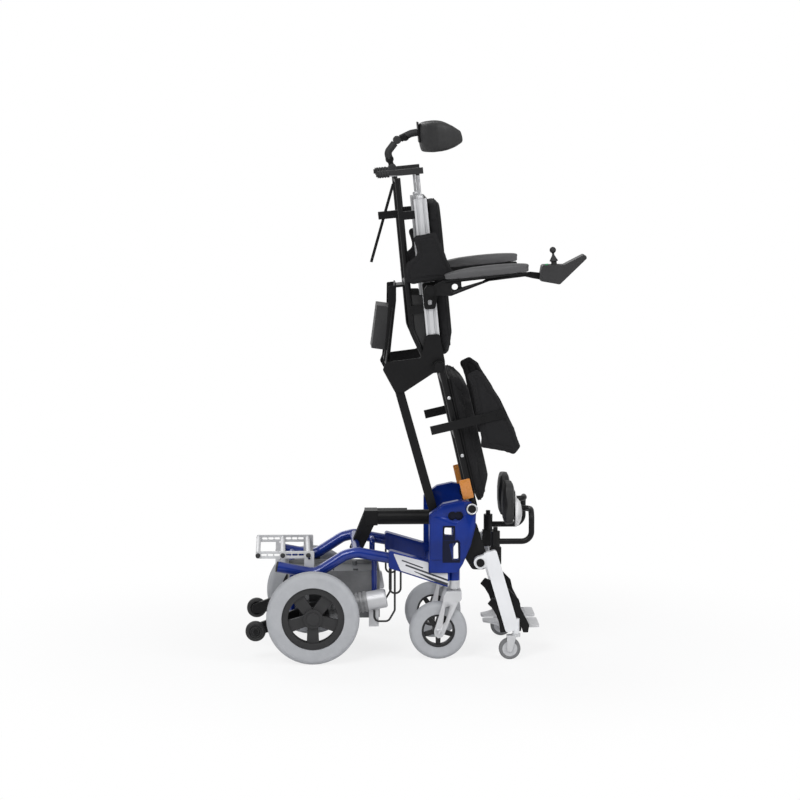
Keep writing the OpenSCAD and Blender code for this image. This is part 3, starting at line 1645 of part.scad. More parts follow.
// Leg brackets: knee-arm pivots inside the bars, and hinge blocks for the footplates
knee_pivot_x = 632;
knee_pivot_y = 196;
knee_block_w = 40;
knee_block_low = 330;
knee_block_top = 388;
knee_block_in = 183;
knee_post_r = 8;
knee_post_top = 458;
hinge_y = 188;
hinge_z = 106;
hinge_pin_r = 6;
hinge_rear = 668;
hinge_front = 722;
hinge_lug_l = 9;
hinge_lug_r = 11;
hinge_plate_top = 196;
hinge_plate_in = 200;
hinge_slant = 26;
module leg_brackets()
  color("black") in_base() both_sides() {
    union() {
      translate([knee_pivot_x - knee_block_w / 2, knee_block_in, knee_block_low])
        cube([knee_block_w, leg_y - knee_block_in, knee_block_top - knee_block_low]);
      translate([knee_pivot_x, knee_pivot_y, knee_block_top - overrun])
        cylinder(h = knee_post_top - knee_block_top + overrun, r = knee_post_r);
    }
    union() {
      side_plate(
        rounded(
          [
            [hinge_rear, hinge_z - hinge_lug_r], [hinge_front, hinge_z - hinge_lug_r],
            [hinge_front, hinge_z + hinge_lug_r],
            [hinge_front - hinge_slant, hinge_plate_top],
            [hinge_rear - hinge_slant / 2, hinge_plate_top],
            [hinge_rear, hinge_z + hinge_lug_r]
          ],
          leg_end_round / 3
        ),
        hinge_plate_in,
        leg_y
      );
      for (x = [hinge_rear, hinge_front - hinge_lug_l]) {
        rod([x, hinge_y, hinge_z], [x + hinge_lug_l, hinge_y, hinge_z], hinge_lug_r);
        translate([x, hinge_y, hinge_z - hinge_lug_r])
          cube([hinge_lug_l, hinge_plate_in - hinge_y + overrun, 2 * hinge_lug_r]);
      }
      rod([hinge_rear, hinge_y, hinge_z], [hinge_front, hinge_y, hinge_z], hinge_pin_r);
    }
  }

// Footplates: flat plates with a hinge barrel, cut clear of the casters' swing
foot_front = 788;
foot_t = 8;
foot_out = 176;
foot_round = 12;
foot_gap = 0.4;
caster_clear_r = 166;
foot_grip_count = 7;
foot_grip_w = 4;
foot_grip_h = 2;
foot_grip_l_share = 0.62;
foot_grip_in_share = 0.2;
module footplate(side)
  color("silver") in_base() on_side(side) difference() {
    union() {
      translate([0, 0, hinge_z - foot_t / 2]) linear_extrude(foot_t) polygon(rounded(
        rect(foot_front - foot_l, foot_out - foot_w, foot_front, foot_out),
        foot_round
      ));
      translate([hinge_rear + hinge_lug_l + foot_gap, foot_out - foot_round, hinge_z - foot_t / 2])
        cube([
          hinge_front - hinge_rear - 2 * hinge_lug_l - 2 * foot_gap,
          hinge_y - foot_out + foot_round, foot_t
        ]);
      rod(
        [hinge_rear + hinge_lug_l + foot_gap, hinge_y, hinge_z],
        [hinge_front - hinge_lug_l - foot_gap, hinge_y, hinge_z], hinge_lug_r
      );
      for (i = [0:foot_grip_count - 1])
        translate([
          foot_front - foot_l * (1 + foot_grip_l_share) / 2 + foot_round / 2,
          foot_out - foot_w + foot_w * foot_grip_in_share / 2
            + i * foot_w * (1 - foot_grip_in_share) / (foot_grip_count - 1) - foot_grip_w / 2,
          hinge_z + foot_t / 2 - overrun
        ])
          cube([foot_l * foot_grip_l_share, foot_grip_w, foot_grip_h + overrun]);
    }
    rod([hinge_rear, hinge_y, hinge_z], [hinge_front, hinge_y, hinge_z], hinge_pin_r + running_gap);
    translate([caster_ahead, caster_y, 0]) cylinder(h = 2 * hinge_z, r = caster_clear_r);
  }

// Knee arms: bent tubes that swing out, with a pad plate
knee_hub_r = 16;
knee_hub_low = knee_block_top + seat_gap;
knee_hub_h = 56;
knee_tube_r = 10;
knee_tube_z = 408;
knee_tube_front = 757;
knee_tube_up = 512;
knee_tube_bend = 34;
knee_pad_y = 112;
knee_pad_x = 700;
knee_pad_t = 39;
knee_pad_h = 156;
knee_pad_w = 132;
knee_pad_z = 532;
knee_pad_square = 4;
knee_plate_t = 4;
knee_plate_w = 70;
knee_plate_h = 84;
module knee_arm(side)
  color("black") in_base() on_side(side) difference() {
    union() {
      translate([knee_pivot_x, knee_pivot_y, knee_hub_low])
        cylinder(h = knee_hub_h, r = knee_hub_r);
      bent_tube(
        [
          [knee_pivot_x, knee_pivot_y, knee_tube_z],
          [knee_tube_front, knee_pivot_y, knee_tube_z],
          [knee_tube_front, knee_pivot_y, knee_tube_up],
          [knee_tube_front, knee_pad_y, knee_tube_up],
          [knee_pad_x, knee_pad_y, knee_tube_up]
        ],
        knee_tube_r,
        knee_tube_bend
      );
      translate([knee_pad_x, knee_pad_y - knee_plate_w / 2, knee_pad_z - knee_plate_h / 2])
        cube([knee_plate_t, knee_plate_w, knee_plate_h]);
    }
    translate([knee_pivot_x, knee_pivot_y, knee_hub_low - overrun])
      cylinder(h = knee_hub_h + 2 * overrun, r = knee_post_r + running_gap);
  }
module knee_pad(side)
  color("black") in_base() on_side(side) translate([knee_pad_x - seat_gap, knee_pad_y, knee_pad_z])
    rotate([0, -90, 0]) soft_pad(
      soft_outline(knee_pad_h, knee_pad_w, knee_pad_square, 0),
      knee_pad_t / crown_share,
      crowned_ring_shares
    );

// Floor casters: small swivelling wheels under the leg bars
floor_trail = 22;
floor_crown_low = 79;
floor_crown_r = 15;
floor_arm_t = 4;
floor_arm_r = 10;
floor_axle_r = 4;
floor_arm_in = floor_caster_w / 2 + side_gap;
module floor_caster_fork(side)
  color("silver") in_base() on_side(side) translate([floor_swivel_x, leg_mid_y, 0]) {
    translate([0, 0, socket_low - overrun]) cylinder(h = floor_stem_l + overrun, r = floor_stem_r);
    translate([0, 0, floor_crown_low])
      cylinder(h = socket_low - seat_gap - floor_crown_low, r = floor_crown_r);
    translate([-floor_trail - floor_arm_r, -floor_arm_in - floor_arm_t, floor_crown_low]) cube([
      floor_trail + floor_arm_r, 2 * (floor_arm_in + floor_arm_t),
      (socket_low - floor_crown_low) / 2
    ]);
    for (y = [-floor_arm_in - floor_arm_t, floor_arm_in]) {
      side_plate(
        [
          [-floor_trail - floor_arm_r, floor_caster_d / 2],
          [-floor_trail + floor_arm_r, floor_caster_d / 2],
          [0, floor_crown_low + overrun],
          [-floor_trail - floor_arm_r, floor_crown_low + overrun]
        ],
        y,
        y + floor_arm_t
      );
      pin(-floor_trail, floor_caster_d / 2, y, y + floor_arm_t, floor_arm_r);
    }
    pin(
      -floor_trail, floor_caster_d / 2, -floor_arm_in - floor_arm_t,
      floor_arm_in + floor_arm_t, floor_axle_r
    );
  }
module floor_caster_wheel(side)
  color("lightgray") in_base()
    on_side(side) translate([floor_swivel_x - floor_trail, leg_mid_y, floor_caster_d / 2])
      wheel_turn() plain_tyre(
        floor_caster_d / 2, floor_axle_r + running_gap, floor_caster_w, floor_caster_w / 4
      );

side_frames();
front_columns();
cross_tubes();
leg_hangers();
rear_rack();
antitip_arms();
drive_gearboxes();
drive_motors();
battery_tray();
batteries();
lift_actuator();
motor_cables();
drive_tyre(RIGHT);  // drive_tyre_right
drive_tyre(LEFT);  // drive_tyre_left
drive_rim(RIGHT);  // drive_rim_right
drive_rim(LEFT);  // drive_rim_left
caster_fork(RIGHT);  // caster_fork_right
caster_fork(LEFT);  // caster_fork_left
caster_tyre(RIGHT);  // caster_tyre_right
caster_tyre(LEFT);  // caster_tyre_left
caster_rim(RIGHT);  // caster_rim_right
caster_rim(LEFT);  // caster_rim_left
antitip_wheel(RIGHT);  // antitip_wheel_right
antitip_wheel(LEFT);  // antitip_wheel_left
seat_frame();
seat_cushion();
thigh_pads();
lift_links();
actuator_rod();
back_posts();
back_cushion();
back_canes();
back_brackets();
trunk_pads();
rear_box();
push_handles();
handle_grips();
headrest_lower_arm();
headrest_upper_arm();
headrest_pad();
armrest_frame(RIGHT, pod_rear + arm_round);  // armrest_frame_right
armrest_frame(LEFT, arm_bar_end);  // armrest_frame_left
armrest_pad(RIGHT);  // armrest_pad_right
armrest_pad(LEFT);  // armrest_pad_left
control_pod();
joystick_gimbal();
joystick();
power_button();
leg_bars();
leg_brackets();
footplate(RIGHT);  // footplate_right
footplate(LEFT);  // footplate_left
knee_arm(RIGHT);  // knee_arm_right
knee_arm(LEFT);  // knee_arm_left
knee_pad(RIGHT);  // knee_pad_right
knee_pad(LEFT);  // knee_pad_left
floor_caster_fork(RIGHT);  // floor_caster_fork_right
floor_caster_fork(LEFT);  // floor_caster_fork_left
floor_caster_wheel(RIGHT);  // floor_caster_wheel_right
floor_caster_wheel(LEFT);  // floor_caster_wheel_left
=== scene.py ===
import bpy
import math
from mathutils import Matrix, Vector
from mathutils.bvhtree import BVHTree
from mathutils.kdtree import KDTree
from mathutils.noise import fractal


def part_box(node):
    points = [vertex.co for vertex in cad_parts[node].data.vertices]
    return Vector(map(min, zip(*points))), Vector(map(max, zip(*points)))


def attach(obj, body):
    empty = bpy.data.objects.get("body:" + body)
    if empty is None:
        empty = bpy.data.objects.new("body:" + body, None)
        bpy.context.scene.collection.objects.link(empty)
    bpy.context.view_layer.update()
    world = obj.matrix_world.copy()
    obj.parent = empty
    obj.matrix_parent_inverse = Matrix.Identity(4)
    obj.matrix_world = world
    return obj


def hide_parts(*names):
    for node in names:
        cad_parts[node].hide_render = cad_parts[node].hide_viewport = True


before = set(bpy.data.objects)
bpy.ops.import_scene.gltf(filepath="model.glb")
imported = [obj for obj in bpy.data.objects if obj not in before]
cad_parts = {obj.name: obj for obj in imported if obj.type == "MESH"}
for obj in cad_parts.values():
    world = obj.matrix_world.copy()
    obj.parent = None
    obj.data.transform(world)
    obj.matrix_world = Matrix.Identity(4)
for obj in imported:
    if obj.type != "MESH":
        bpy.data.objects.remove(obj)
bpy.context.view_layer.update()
scene = bpy.context.scene

# Camera. A long lens a little above the headrest, on the chair's right-hand side
# and turned slightly from square, as the photograph was taken.
lens = bpy.data.cameras.new("side_camera")
lens.lens, lens.sensor_width = 140.4, 36.0
camera = bpy.data.objects.new("side_camera", lens)
camera.location = (-0.438, -10.835, 2.114)
camera.rotation_euler = (math.radians(83.5), 0, math.radians(-2.1))
scene.collection.objects.link(camera)
scene.camera = camera

# Motor leads. Two rubber-sheathed leads a side leave the beam; one loops under the
# motor to its gland, the other comes back up into the beam as a spare loop.
axle_x = -0.35015
hands = (("right", -1), ("left", 1))
lead_r, lead_bend = 0.0035, 0.018


def picked(piece):
    bpy.ops.object.select_all(action="DESELECT")
    piece.select_set(True)
    bpy.context.view_layer.objects.active = piece
    return piece


def swept(name, route, r, resolution):
    shape = bpy.data.curves.new(name, "CURVE")
    shape.dimensions = "3D"
    shape.bevel_depth, shape.bevel_resolution, shape.use_fill_caps = r, resolution, True
    spline = shape.splines.new("POLY")
    spline.points.add(len(route) - 1)
    for knot, place in zip(spline.points, route):
        knot.co = (*place, 1)
    rod = bpy.data.objects.new(name, shape)
    scene.collection.objects.link(rod)
    picked(rod)
    bpy.ops.object.convert(target="MESH")
    return bpy.context.object


def rounded_route(corners, bend):
    route = [corners[0]]
    for before, at, after in zip(corners, corners[1:], corners[2:]):
        into, out = (at - before).normalized(), (after - at).normalized()
        angle = into.angle(out)
        side = (out - into * into.dot(out)).normalized()
        start = at - into * bend * math.tan(angle / 2)
        steps = max(4, round(math.degrees(angle) / 8))
        for step in range(steps + 1):
            turn = angle * step / steps
            route.append(start + into * bend * math.sin(turn) + side * bend * (1 - math.cos(turn)))
    return route + [corners[-1]]


leads = []
for hand, side in hands:
    for use, y, corners in (
        ("feed", 0.203, ((284, 313), (284, 170), (262, 132), (213, 132), (213, 171))),
        ("spare", 0.214, ((266, 319), (266, 232), (304, 232), (304, 306))),
    ):
        route = rounded_route(
            [Vector((axle_x + x / 1000, side * y, z / 1000)) for x, z in corners], lead_bend
        )
        lead = swept(f"motor_lead_{use}_{hand}", route, lead_r, 4)
        bpy.ops.object.shade_smooth_by_angle(angle=math.radians(50))
        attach(lead, "base")
        sum((b - a).length for a, b in zip(route, route[1:]))
        leads.append(lead)
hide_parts("motor_cables")


# Studio. A pale floor that keeps the soft shadow, white air behind it, and three
# wide lamps: one high on the camera's side, one in front and one behind.
class Wire:
    """An output of a shader node; sums on it add Math nodes."""

    def __init__(self, tree, socket=None):
        self.tree, self.socket = tree, socket

    def node(self, kind, settings=None, inputs=None, take=0):
        made = self.tree.nodes.new(kind)
        for name, value in (settings or {}).items():
            if name == "stops":
                for stop, (place, shade) in zip(made.color_ramp.elements, value):
                    stop.position = place
                    stop.color = (shade,) * 3 + (1,) if isinstance(shade, float) else (*shade, 1)
            else:
                setattr(made, name, value)
        for name, value in (inputs or {}).items():
            if isinstance(value, Wire):
                self.tree.links.new(value.socket, made.inputs[name])
            else:
                made.inputs[name].default_value = value
        return Wire(self.tree, made.outputs[take])

    def sum(self, operation, *values):
        return self.node("ShaderNodeMath", {"operation": operation}, dict(enumerate(values)))

    def __add__(self, other):
        return self.sum("ADD", self, other)

    def __sub__(self, other):
        return self.sum("SUBTRACT", self, other)

    def __rsub__(self, other):
        return self.sum("SUBTRACT", other, self)

    def __mul__(self, other):
        return self.sum("MULTIPLY", self, other)

    __radd__, __rmul__ = __add__, __mul__

    def mix(self, first, second):
        return self.node("ShaderNodeMix", {"data_type": "RGBA"}, {0: self, 6: first, 7: second}, 2)

    def ramp(self, *stops):
        return self.node("ShaderNodeValToRGB", {"stops": stops}, {0: self})

    def axes(self, names):
        return [self.node("ShaderNodeSeparateXYZ", {}, {"Vector": self}, name) for name in names]


def edge_at(value, low, high):
    return value.node(
        "ShaderNodeMapRange",
        {"interpolation_type": "SMOOTHSTEP"},
        {"Value": value, "From Min": low, "From Max": high},
    )


def kinds_of_ray(wire):
    kinds = ("Is Camera Ray", "Is Glossy Ray", "Is Transmission Ray")
    return [wire.node("ShaderNodeLightPath", take=kind) for kind in kinds]


floor_half, floor_tone = 60.0, (0.86, 0.86, 0.87, 1)
shadow_near, shadow_far, shadow_glow = 0.6, 1.9, 0.80
bpy.ops.object.select_all(action="DESELECT")
bpy.ops.mesh.primitive_plane_add(size=2 * floor_half, location=(0, 0, 0))
floor = bpy.context.object
floor.name = "studio_floor"
floor_paper = bpy.data.materials.new("floor_paper")
floor_paper.use_nodes = True
wire = Wire(floor_paper.node_tree)
by_camera, by_gloss, by_glass = kinds_of_ray(wire)
place = wire.node("ShaderNodeTexCoord", take="Object")
near = wire.node("ShaderNodeVectorMath", {"operation": "LENGTH"}, {0: place}, "Value")
far = edge_at(near, shadow_near, shadow_far)
seen = wire.sum("MAXIMUM", wire.sum("MAXIMUM", by_camera, by_gloss * 0.5), by_glass)
seen = seen * (shadow_glow + far * (1 - shadow_glow))
paper = wire.node("ShaderNodeBsdfDiffuse", {}, {"Color": floor_tone})
glow = wire.node("ShaderNodeEmission", {}, {"Color": (1, 1, 1, 1), "Strength": 1.0})
both = wire.node("ShaderNodeMixShader", {}, {0: seen, 1: paper, 2: glow})
wire.tree.links.new(both.socket, wire.tree.nodes["Material Output"].inputs["Surface"])
floor.data.materials.append(floor_paper)

air = bpy.data.worlds.new("studio_air")
scene.world = air
air.use_nodes = True
wire = Wire(air.node_tree)
by_camera, by_gloss, by_glass = kinds_of_ray(wire)
up, deep = wire.node("ShaderNodeTexCoord", take="Generated").axes("ZY")
high, behind = edge_at(up, 0.15, 0.8), edge_at(deep, -0.2, 0.6)
mirrored = wire.sum("MAXIMUM", high * 0.9, behind * 0.6) + 0.05
seen = wire.sum("MAXIMUM", by_camera, by_glass)
lit = (1 - by_gloss) * 0.5 + by_gloss * mirrored
backdrop = wire.tree.nodes["Background"]
backdrop.inputs["Color"].default_value = (1, 1, 1, 1)
wire.tree.links.new((seen + (1 - seen) * lit).socket, backdrop.inputs["Strength"])

for name, place, aim, width, power in (
    ("key_lamp", (-2.6, -5.6, 5.2), (0, 0, 0.8), 3.2, 260),
    ("front_lamp", (5.2, -3.6, 3.4), (0.1, 0, 0.8), 2.6, 130),
    ("back_lamp", (-2.4, 5.4, 4.4), (0, 0, 0.9), 3.2, 120),
):
    lamp = bpy.data.lights.new(name, "AREA")
    lamp.energy, lamp.size = power, width
    stand = bpy.data.objects.new(name, lamp)
    stand.location = place
    stand.rotation_euler = (Vector(aim) - Vector(place)).to_track_quat("-Z", "Y").to_euler()
    scene.collection.objects.link(stand)
scene.view_settings.view_transform = "Standard"


# Frame tubes, columns and cross tubes. Bent and welded steel under a deep blue gloss lacquer with a fine
# metal flake and a clear coat; the recesses of the columns carry painted shade.
def start_finish(name):
    material = bpy.data.materials.new(name)
    material.use_nodes = True
    wire = Wire(material.node_tree)
    place = wire.node("ShaderNodeTexCoord", take="Object")
    return material, wire, place, wire.tree.nodes["Principled BSDF"]


def join(shader, **links):
    for name, value in links.items():
        socket = shader.inputs[name.replace("_", " ")]
        if isinstance(value, Wire):
            value.tree.links.new(value.socket, socket)
        else:
            socket.default_value = value


def noise(wire, place, scale, detail=2.0, rough=0.5):
    return wire.node(
        "ShaderNodeTexNoise", {}, {"Vector": place, "Scale": scale, "Detail": detail, "Roughness": rough}
    )


def soft_edge(wire, radius):
    return wire.node("ShaderNodeBevel", {"samples": 4}, {"Radius": radius})


def bump(wire, height, depth, under=None):
    inputs = {"Height": height, "Distance": depth, "Strength": 1.0}
    if under:
        inputs["Normal"] = under
    return wire.node("ShaderNodeBump", {}, inputs)


def dress(material, *nodes):
    for name in nodes:
        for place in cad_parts[name].material_slots:
            place.material = material


def side_on(corners):
    return [(axle_x + px / 1000, pz / 1000) for px, pz in corners]


def inside(x, z, corners, soft):
    part = None
    for (ax, az), (bx, bz) in zip(corners, corners[1:] + corners[:1]):
        run = math.hypot(bx - ax, bz - az)
        off = (x - ax) * ((az - bz) / run) + (z - az) * ((bx - ax) / run)
        part = edge_at(off, 0.0, soft) if part is None else part * edge_at(off, 0.0, soft)
    return part


def lacquered(name, gloss):
    lacquer, wire, place, shader = start_finish(name)
    x, y, z = place.axes("XYZ")
    out = wire.sum("ABSOLUTE", y)
    # Painted shade: the pocket between the column's two legs and the floor of the well in its head are
    # darkened to a near-black navy, standing in for the shade in these recesses; the same masks make them
    # rougher and less glossy.
    low_pocket_shade, high_pocket_shade, well_shade = (
        inside(x, z, side_on(((left, low), (right, low), (right, high), (left, high))), soft)
        for left, right, low, high, soft in (
            (446, 509, 340, 420, 0.002), (446, 491, 418, 471, 0.002), (464, 520, 486, 524, 0.001),
        )
    )
    pocket_shade = wire.sum("MAXIMUM", low_pocket_shade, high_pocket_shade)
    pocket_shade = pocket_shade * edge_at(out, 0.230, 0.236) * (1 - edge_at(out, 0.2391, 0.2393))
    well_shade = well_shade * edge_at(out, 0.220, 0.225) * (1 - edge_at(out, 0.2375, 0.2385))
    dark = wire.sum("MAXIMUM", pocket_shade, well_shade)
    neck = edge_at(x, axle_x + 0.4655, axle_x + 0.4665) * (1 - edge_at(z, 0.2745, 0.2755))
    flake = noise(wire, place, 1400.0, 1.0)
    cloud = noise(wire, place, 9.0, 3.0)
    scuff = noise(wire, place, 60.0, 6.0, 0.7).ramp((0.62, 0.0), (0.72, 1.0))
    deep = cloud.ramp((0.35, (0.0004, 0.011, 0.130)), (0.65, (0.0008, 0.019, 0.205)))
    # The lacquer colour is mixed towards near-black navy over the painted shade masks.
    lacquer_and_shade = dark.mix((flake * 0.2).mix(deep, (0.004, 0.06, 0.42, 1)), (0.0008, 0.003, 0.022, 1))
    join(
        shader,
        Base_Color=neck.mix(lacquer_and_shade, (0.60, 0.605, 0.62, 1)),
        Roughness=0.30 + scuff * 0.14 + flake * 0.06 + dark * 0.15,
        Metallic=0.15 + neck * 0.45,
        Coat_Weight=gloss - scuff * 0.15 - dark * 0.12,
        Coat_Roughness=0.08,
        Normal=bump(wire, noise(wire, place, 220.0, 1.0) * 0.06, 0.001, soft_edge(wire, 0.003)),
    )
    shader.inputs["Specular IOR Level"].default_value = 0.18
    return lacquer


blue_lacquer, tube_lacquer = lacquered("blue_lacquer", 0.28), lacquered("tube_lacquer", 0.75)
dress(blue_lacquer, "front_columns")
dress(tube_lacquer, "side_frames", "cross_tubes")

# Black steelwork. Brackets, links, canes and arms, bent and welded, then powder
# coated in a satin black that shows a fine orange-peel and rubbed patches.
black_powder, wire, place, shader = start_finish("black_powder")
peel = noise(wire, place, 700.0, 2.0)
dust = noise(wire, place, 14.0, 5.0, 0.6)
rub = noise(wire, place, 85.0, 6.0, 0.75).ramp((0.60, 0.0), (0.70, 1.0))
join(
    shader,
    Base_Color=(rub * 0.4).mix(
        dust.mix((0.0035, 0.0035, 0.004, 1), (0.007, 0.007, 0.0075, 1)), (0.018, 0.018, 0.019, 1)
    ),
    Roughness=0.34 + dust * 0.12 - rub * 0.06,
    Normal=bump(wire, peel, 0.00012, soft_edge(wire, 0.0015)),
)
shader.inputs["Specular IOR Level"].default_value = 0.22
dress(
    black_powder, "leg_hangers", "antitip_arms", "lift_actuator", "seat_frame", "lift_links", "back_canes",
    "back_brackets", "headrest_lower_arm", "headrest_upper_arm", "leg_brackets",
    "knee_arm_right", "knee_arm_left",
)

# Silver alloy. Rear rack, back posts, footplates and floor-caster forks: aluminium that is
# sawn, drilled, bead-blasted and anodised in a soft silver.
silver_anodised, wire, place, shader = start_finish("silver_anodised")
grain = noise(wire, place, 900.0, 2.0)
cloud = noise(wire, place, 18.0, 4.0)
join(
    shader,
    Base_Color=cloud.mix((0.56, 0.565, 0.58, 1), (0.66, 0.665, 0.68, 1)),
    Roughness=0.38 + grain * 0.10 + cloud * 0.06,
    Metallic=0.45,
    Normal=bump(wire, grain, 0.00006, soft_edge(wire, 0.0010)),
)
dress(
    silver_anodised, "rear_rack", "back_posts", "footplate_right", "footplate_left",
    "floor_caster_fork_right", "floor_caster_fork_left",
)

# Gearboxes and brakes. The gearbox is a sand-cast housing in dark paint; the parking brake
# on the far end of the motor is a turned can left in bare alloy.
cast_housing, wire, place, shader = start_finish("cast_housing")
grit = noise(wire, place, 420.0, 4.0, 0.65)
cloud = noise(wire, place, 15.0, 4.0)
(along,) = place.axes("X")
can_from = axle_x + 0.090
bare = wire.node(
    "ShaderNodeMapRange", {}, {"Value": along, "From Min": can_from, "From Max": can_from + 0.002}
)
join(
    shader,
    Base_Color=bare.mix(
        cloud.mix((0.020, 0.021, 0.023, 1), (0.036, 0.037, 0.040, 1)),
        cloud.mix((0.50, 0.505, 0.52, 1), (0.62, 0.625, 0.64, 1)),
    ),
    Roughness=0.52 - bare * 0.10 + grit * 0.12,
    Metallic=0.1 + bare * 0.4,
    Normal=bump(wire, grit, 0.00025, soft_edge(wire, 0.0015)),
)
dress(cast_housing, "drive_gearboxes")

# Motors and battery tray. Finned motor cases die-cast in grey alloy, and a folded tray of
# galvanised sheet with a faint spangle.
grey_alloy, wire, place, shader = start_finish("grey_alloy")
spangle = wire.node("ShaderNodeTexVoronoi", {}, {"Vector": place, "Scale": 110.0}, "Color")
(spot,) = spangle.axes("X")
cloud = noise(wire, place, 15.0, 4.0)
join(
    shader,
    Base_Color=(spot * 0.16 + cloud * 0.84).mix((0.17, 0.172, 0.178, 1), (0.30, 0.303, 0.31, 1)),
    Roughness=0.40 + cloud * 0.16 + spot * 0.06,
    Metallic=0.4,
    Normal=bump(wire, noise(wire, place, 500.0, 3.0), 0.00015, soft_edge(wire, 0.0015)),
)
dress(grey_alloy, "drive_motors", "battery_tray")

# Push handles. Square steel bars in black powder on bright round rods that slide into
# the back posts.
bar_and_rod, wire, place, shader = start_finish("bar_and_rod")
grain = noise(wire, place, 700.0, 2.0)
wear = noise(wire, place, 40.0, 5.0, 0.7)
bar_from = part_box("push_handles")[0][2] + 0.080
(rise,) = place.axes("Z")
coated = wire.node(
    "ShaderNodeMapRange", {}, {"Value": rise, "From Min": bar_from, "From Max": bar_from + 0.001}
)
join(
    shader,
    Base_Color=coated.mix(
        (0.52, 0.525, 0.54, 1), wear.mix((0.006, 0.006, 0.007, 1), (0.014, 0.014, 0.015, 1))
    ),
    Roughness=0.30 + coated * 0.14 + wear * 0.06,
    Metallic=0.9 - coated * 0.9,
    Normal=bump(wire, grain, 0.00010, soft_edge(wire, 0.0012)),
)
dress(bar_and_rod, "push_handles")

# Leg bars. Rectangular aluminium bars, welded to a cross bar, under a smooth white
# gloss coat.
white_gloss, wire, place, shader = start_finish("white_gloss")
cloud = noise(wire, place, 12.0, 4.0)
join(
    shader,
    Base_Color=cloud.mix((0.70, 0.71, 0.73, 1), (0.80, 0.81, 0.83, 1)),
    Roughness=0.26 + cloud * 0.12,
    Coat_Weight=0.4,
    Normal=bump(wire, noise(wire, place, 260.0, 1.0), 0.00005, soft_edge(wire, 0.0015)),
)
dress(white_gloss, "leg_bars")

# Lift rod and joystick gimbal. Bar steel, ground along its length and polished; the rod
# slides in the actuator, the gimbal sits in the pod.
ground_steel, wire, place, shader = start_finish("ground_steel")
drawn_out = wire.node("ShaderNodeMapping", {}, {"Vector": place, "Scale": (40, 900, 900)})
streak = noise(wire, drawn_out, 1.0, 3.0)
join(
    shader,
    Base_Color=streak.mix((0.52, 0.53, 0.55, 1), (0.66, 0.67, 0.69, 1)),
    Roughness=0.20 + streak * 0.14,
    Metallic=1.0,
    Normal=bump(wire, streak, 0.00003, soft_edge(wire, 0.0008)),
)
dress(ground_steel, "actuator_rod", "joystick_gimbal")

# Tyres. Light grey non-marking rubber with a rounded tread and ring grooves, moulded solid
# and pressed over the rims of the drive wheels and the front casters.
grey_rubber, wire, place, shader = start_finish("grey_rubber")
dirt = noise(wire, place, 26.0, 5.0, 0.65)
grain = noise(wire, place, 1100.0, 2.0)
join(
    shader,
    Base_Color=dirt.mix((0.32, 0.33, 0.35, 1), (0.45, 0.46, 0.48, 1)),
    Roughness=0.62 + dirt * 0.18,
    Normal=bump(wire, grain, 0.00012, soft_edge(wire, 0.0015)),
)
dress(grey_rubber, "drive_tyre_right", "drive_tyre_left", "caster_tyre_right", "caster_tyre_left")

# Floor casters. Small wheels with a dark grey tread moulded round a pale plastic hub; they
# carry the leg rest when the chair stands.
roller_grey, wire, place, shader = start_finish("roller_grey")
x, z = place.axes("XZ")
off_x, off_z = x - (axle_x + 0.681), z - 0.0375
from_axle = wire.sum("SQRT", off_x * off_x + off_z * off_z)
hub_r = 0.0255
tread = edge_at(from_axle, hub_r, hub_r + 0.0007)
dirt = noise(wire, place, 60.0, 5.0, 0.65)
join(
    shader,
    Base_Color=tread.mix(
        dirt.mix((0.42, 0.425, 0.44, 1), (0.54, 0.545, 0.56, 1)),
        dirt.mix((0.13, 0.132, 0.138, 1), (0.20, 0.202, 0.208, 1)),
    ),
    Roughness=0.42 + tread * 0.18 + dirt * 0.15,
    Normal=bump(wire, dirt, 0.00012, soft_edge(wire, 0.0010)),
)
dress(roller_grey, "floor_caster_wheel_right", "floor_caster_wheel_left")

# Black rubber. The sheaths of the leads, the slip-on grips, the joystick's boot and the
# rollers of the anti-tip arms.
black_rubber, wire, place, shader = start_finish("black_rubber")
grain = noise(wire, place, 900.0, 3.0)
dust = noise(wire, place, 30.0, 4.0)
join(
    shader,
    Base_Color=dust.mix((0.008, 0.008, 0.0085, 1), (0.019, 0.019, 0.020, 1)),
    Roughness=0.55 + dust * 0.20,
    Normal=bump(wire, grain, 0.00015, soft_edge(wire, 0.0010)),
)
dress(black_rubber, "handle_grips", "joystick", "antitip_wheel_right", "antitip_wheel_left")
for lead in leads:
    lead.data.materials.append(black_rubber)

# Moulded plastic. Wheel centres, electronics box and control pod, injection moulded
# in black with a spark-eroded grain.
moulded_black, wire, place, shader = start_finish("moulded_black")
cells = wire.node("ShaderNodeTexVoronoi", {}, {"Vector": place, "Scale": 900.0})
cloud = noise(wire, place, 16.0, 4.0)
join(
    shader,
    Base_Color=cloud.mix((0.012, 0.012, 0.0128, 1), (0.023, 0.023, 0.0245, 1)),
    Roughness=0.46 + cloud * 0.16,
    Normal=bump(wire, cells, 0.00010, soft_edge(wire, 0.0014)),
)
dress(
    moulded_black, "rear_box", "control_pod",
    "drive_rim_right", "drive_rim_left", "caster_rim_right", "caster_rim_left",
)

# Batteries. Two sealed blocks in grey plastic cases, finely grained, side by side in the
# tray and wedged by its walls.
battery_shell, wire, place, shader = start_finish("battery_shell")
cells = wire.node("ShaderNodeTexVoronoi", {}, {"Vector": place, "Scale": 700.0})
cloud = noise(wire, place, 16.0, 4.0)
join(
    shader,
    Base_Color=cloud.mix((0.07, 0.074, 0.08, 1), (0.11, 0.115, 0.12, 1)),
    Roughness=0.42 + cloud * 0.16,
    Normal=bump(wire, cells, 0.00010, soft_edge(wire, 0.0014)),
)
dress(battery_shell, "batteries")

# Power button. A small domed key in green plastic with a clear gloss, set in the top of
# the control pod.
green_key, wire, place, shader = start_finish("green_key")
cloud = noise(wire, place, 300.0, 2.0)
join(
    shader,
    Base_Color=cloud.mix((0.02, 0.24, 0.09, 1), (0.04, 0.34, 0.14, 1)),
    Roughness=0.22 + cloud * 0.10,
    Coat_Weight=0.5,
)
dress(green_key, "power_button")

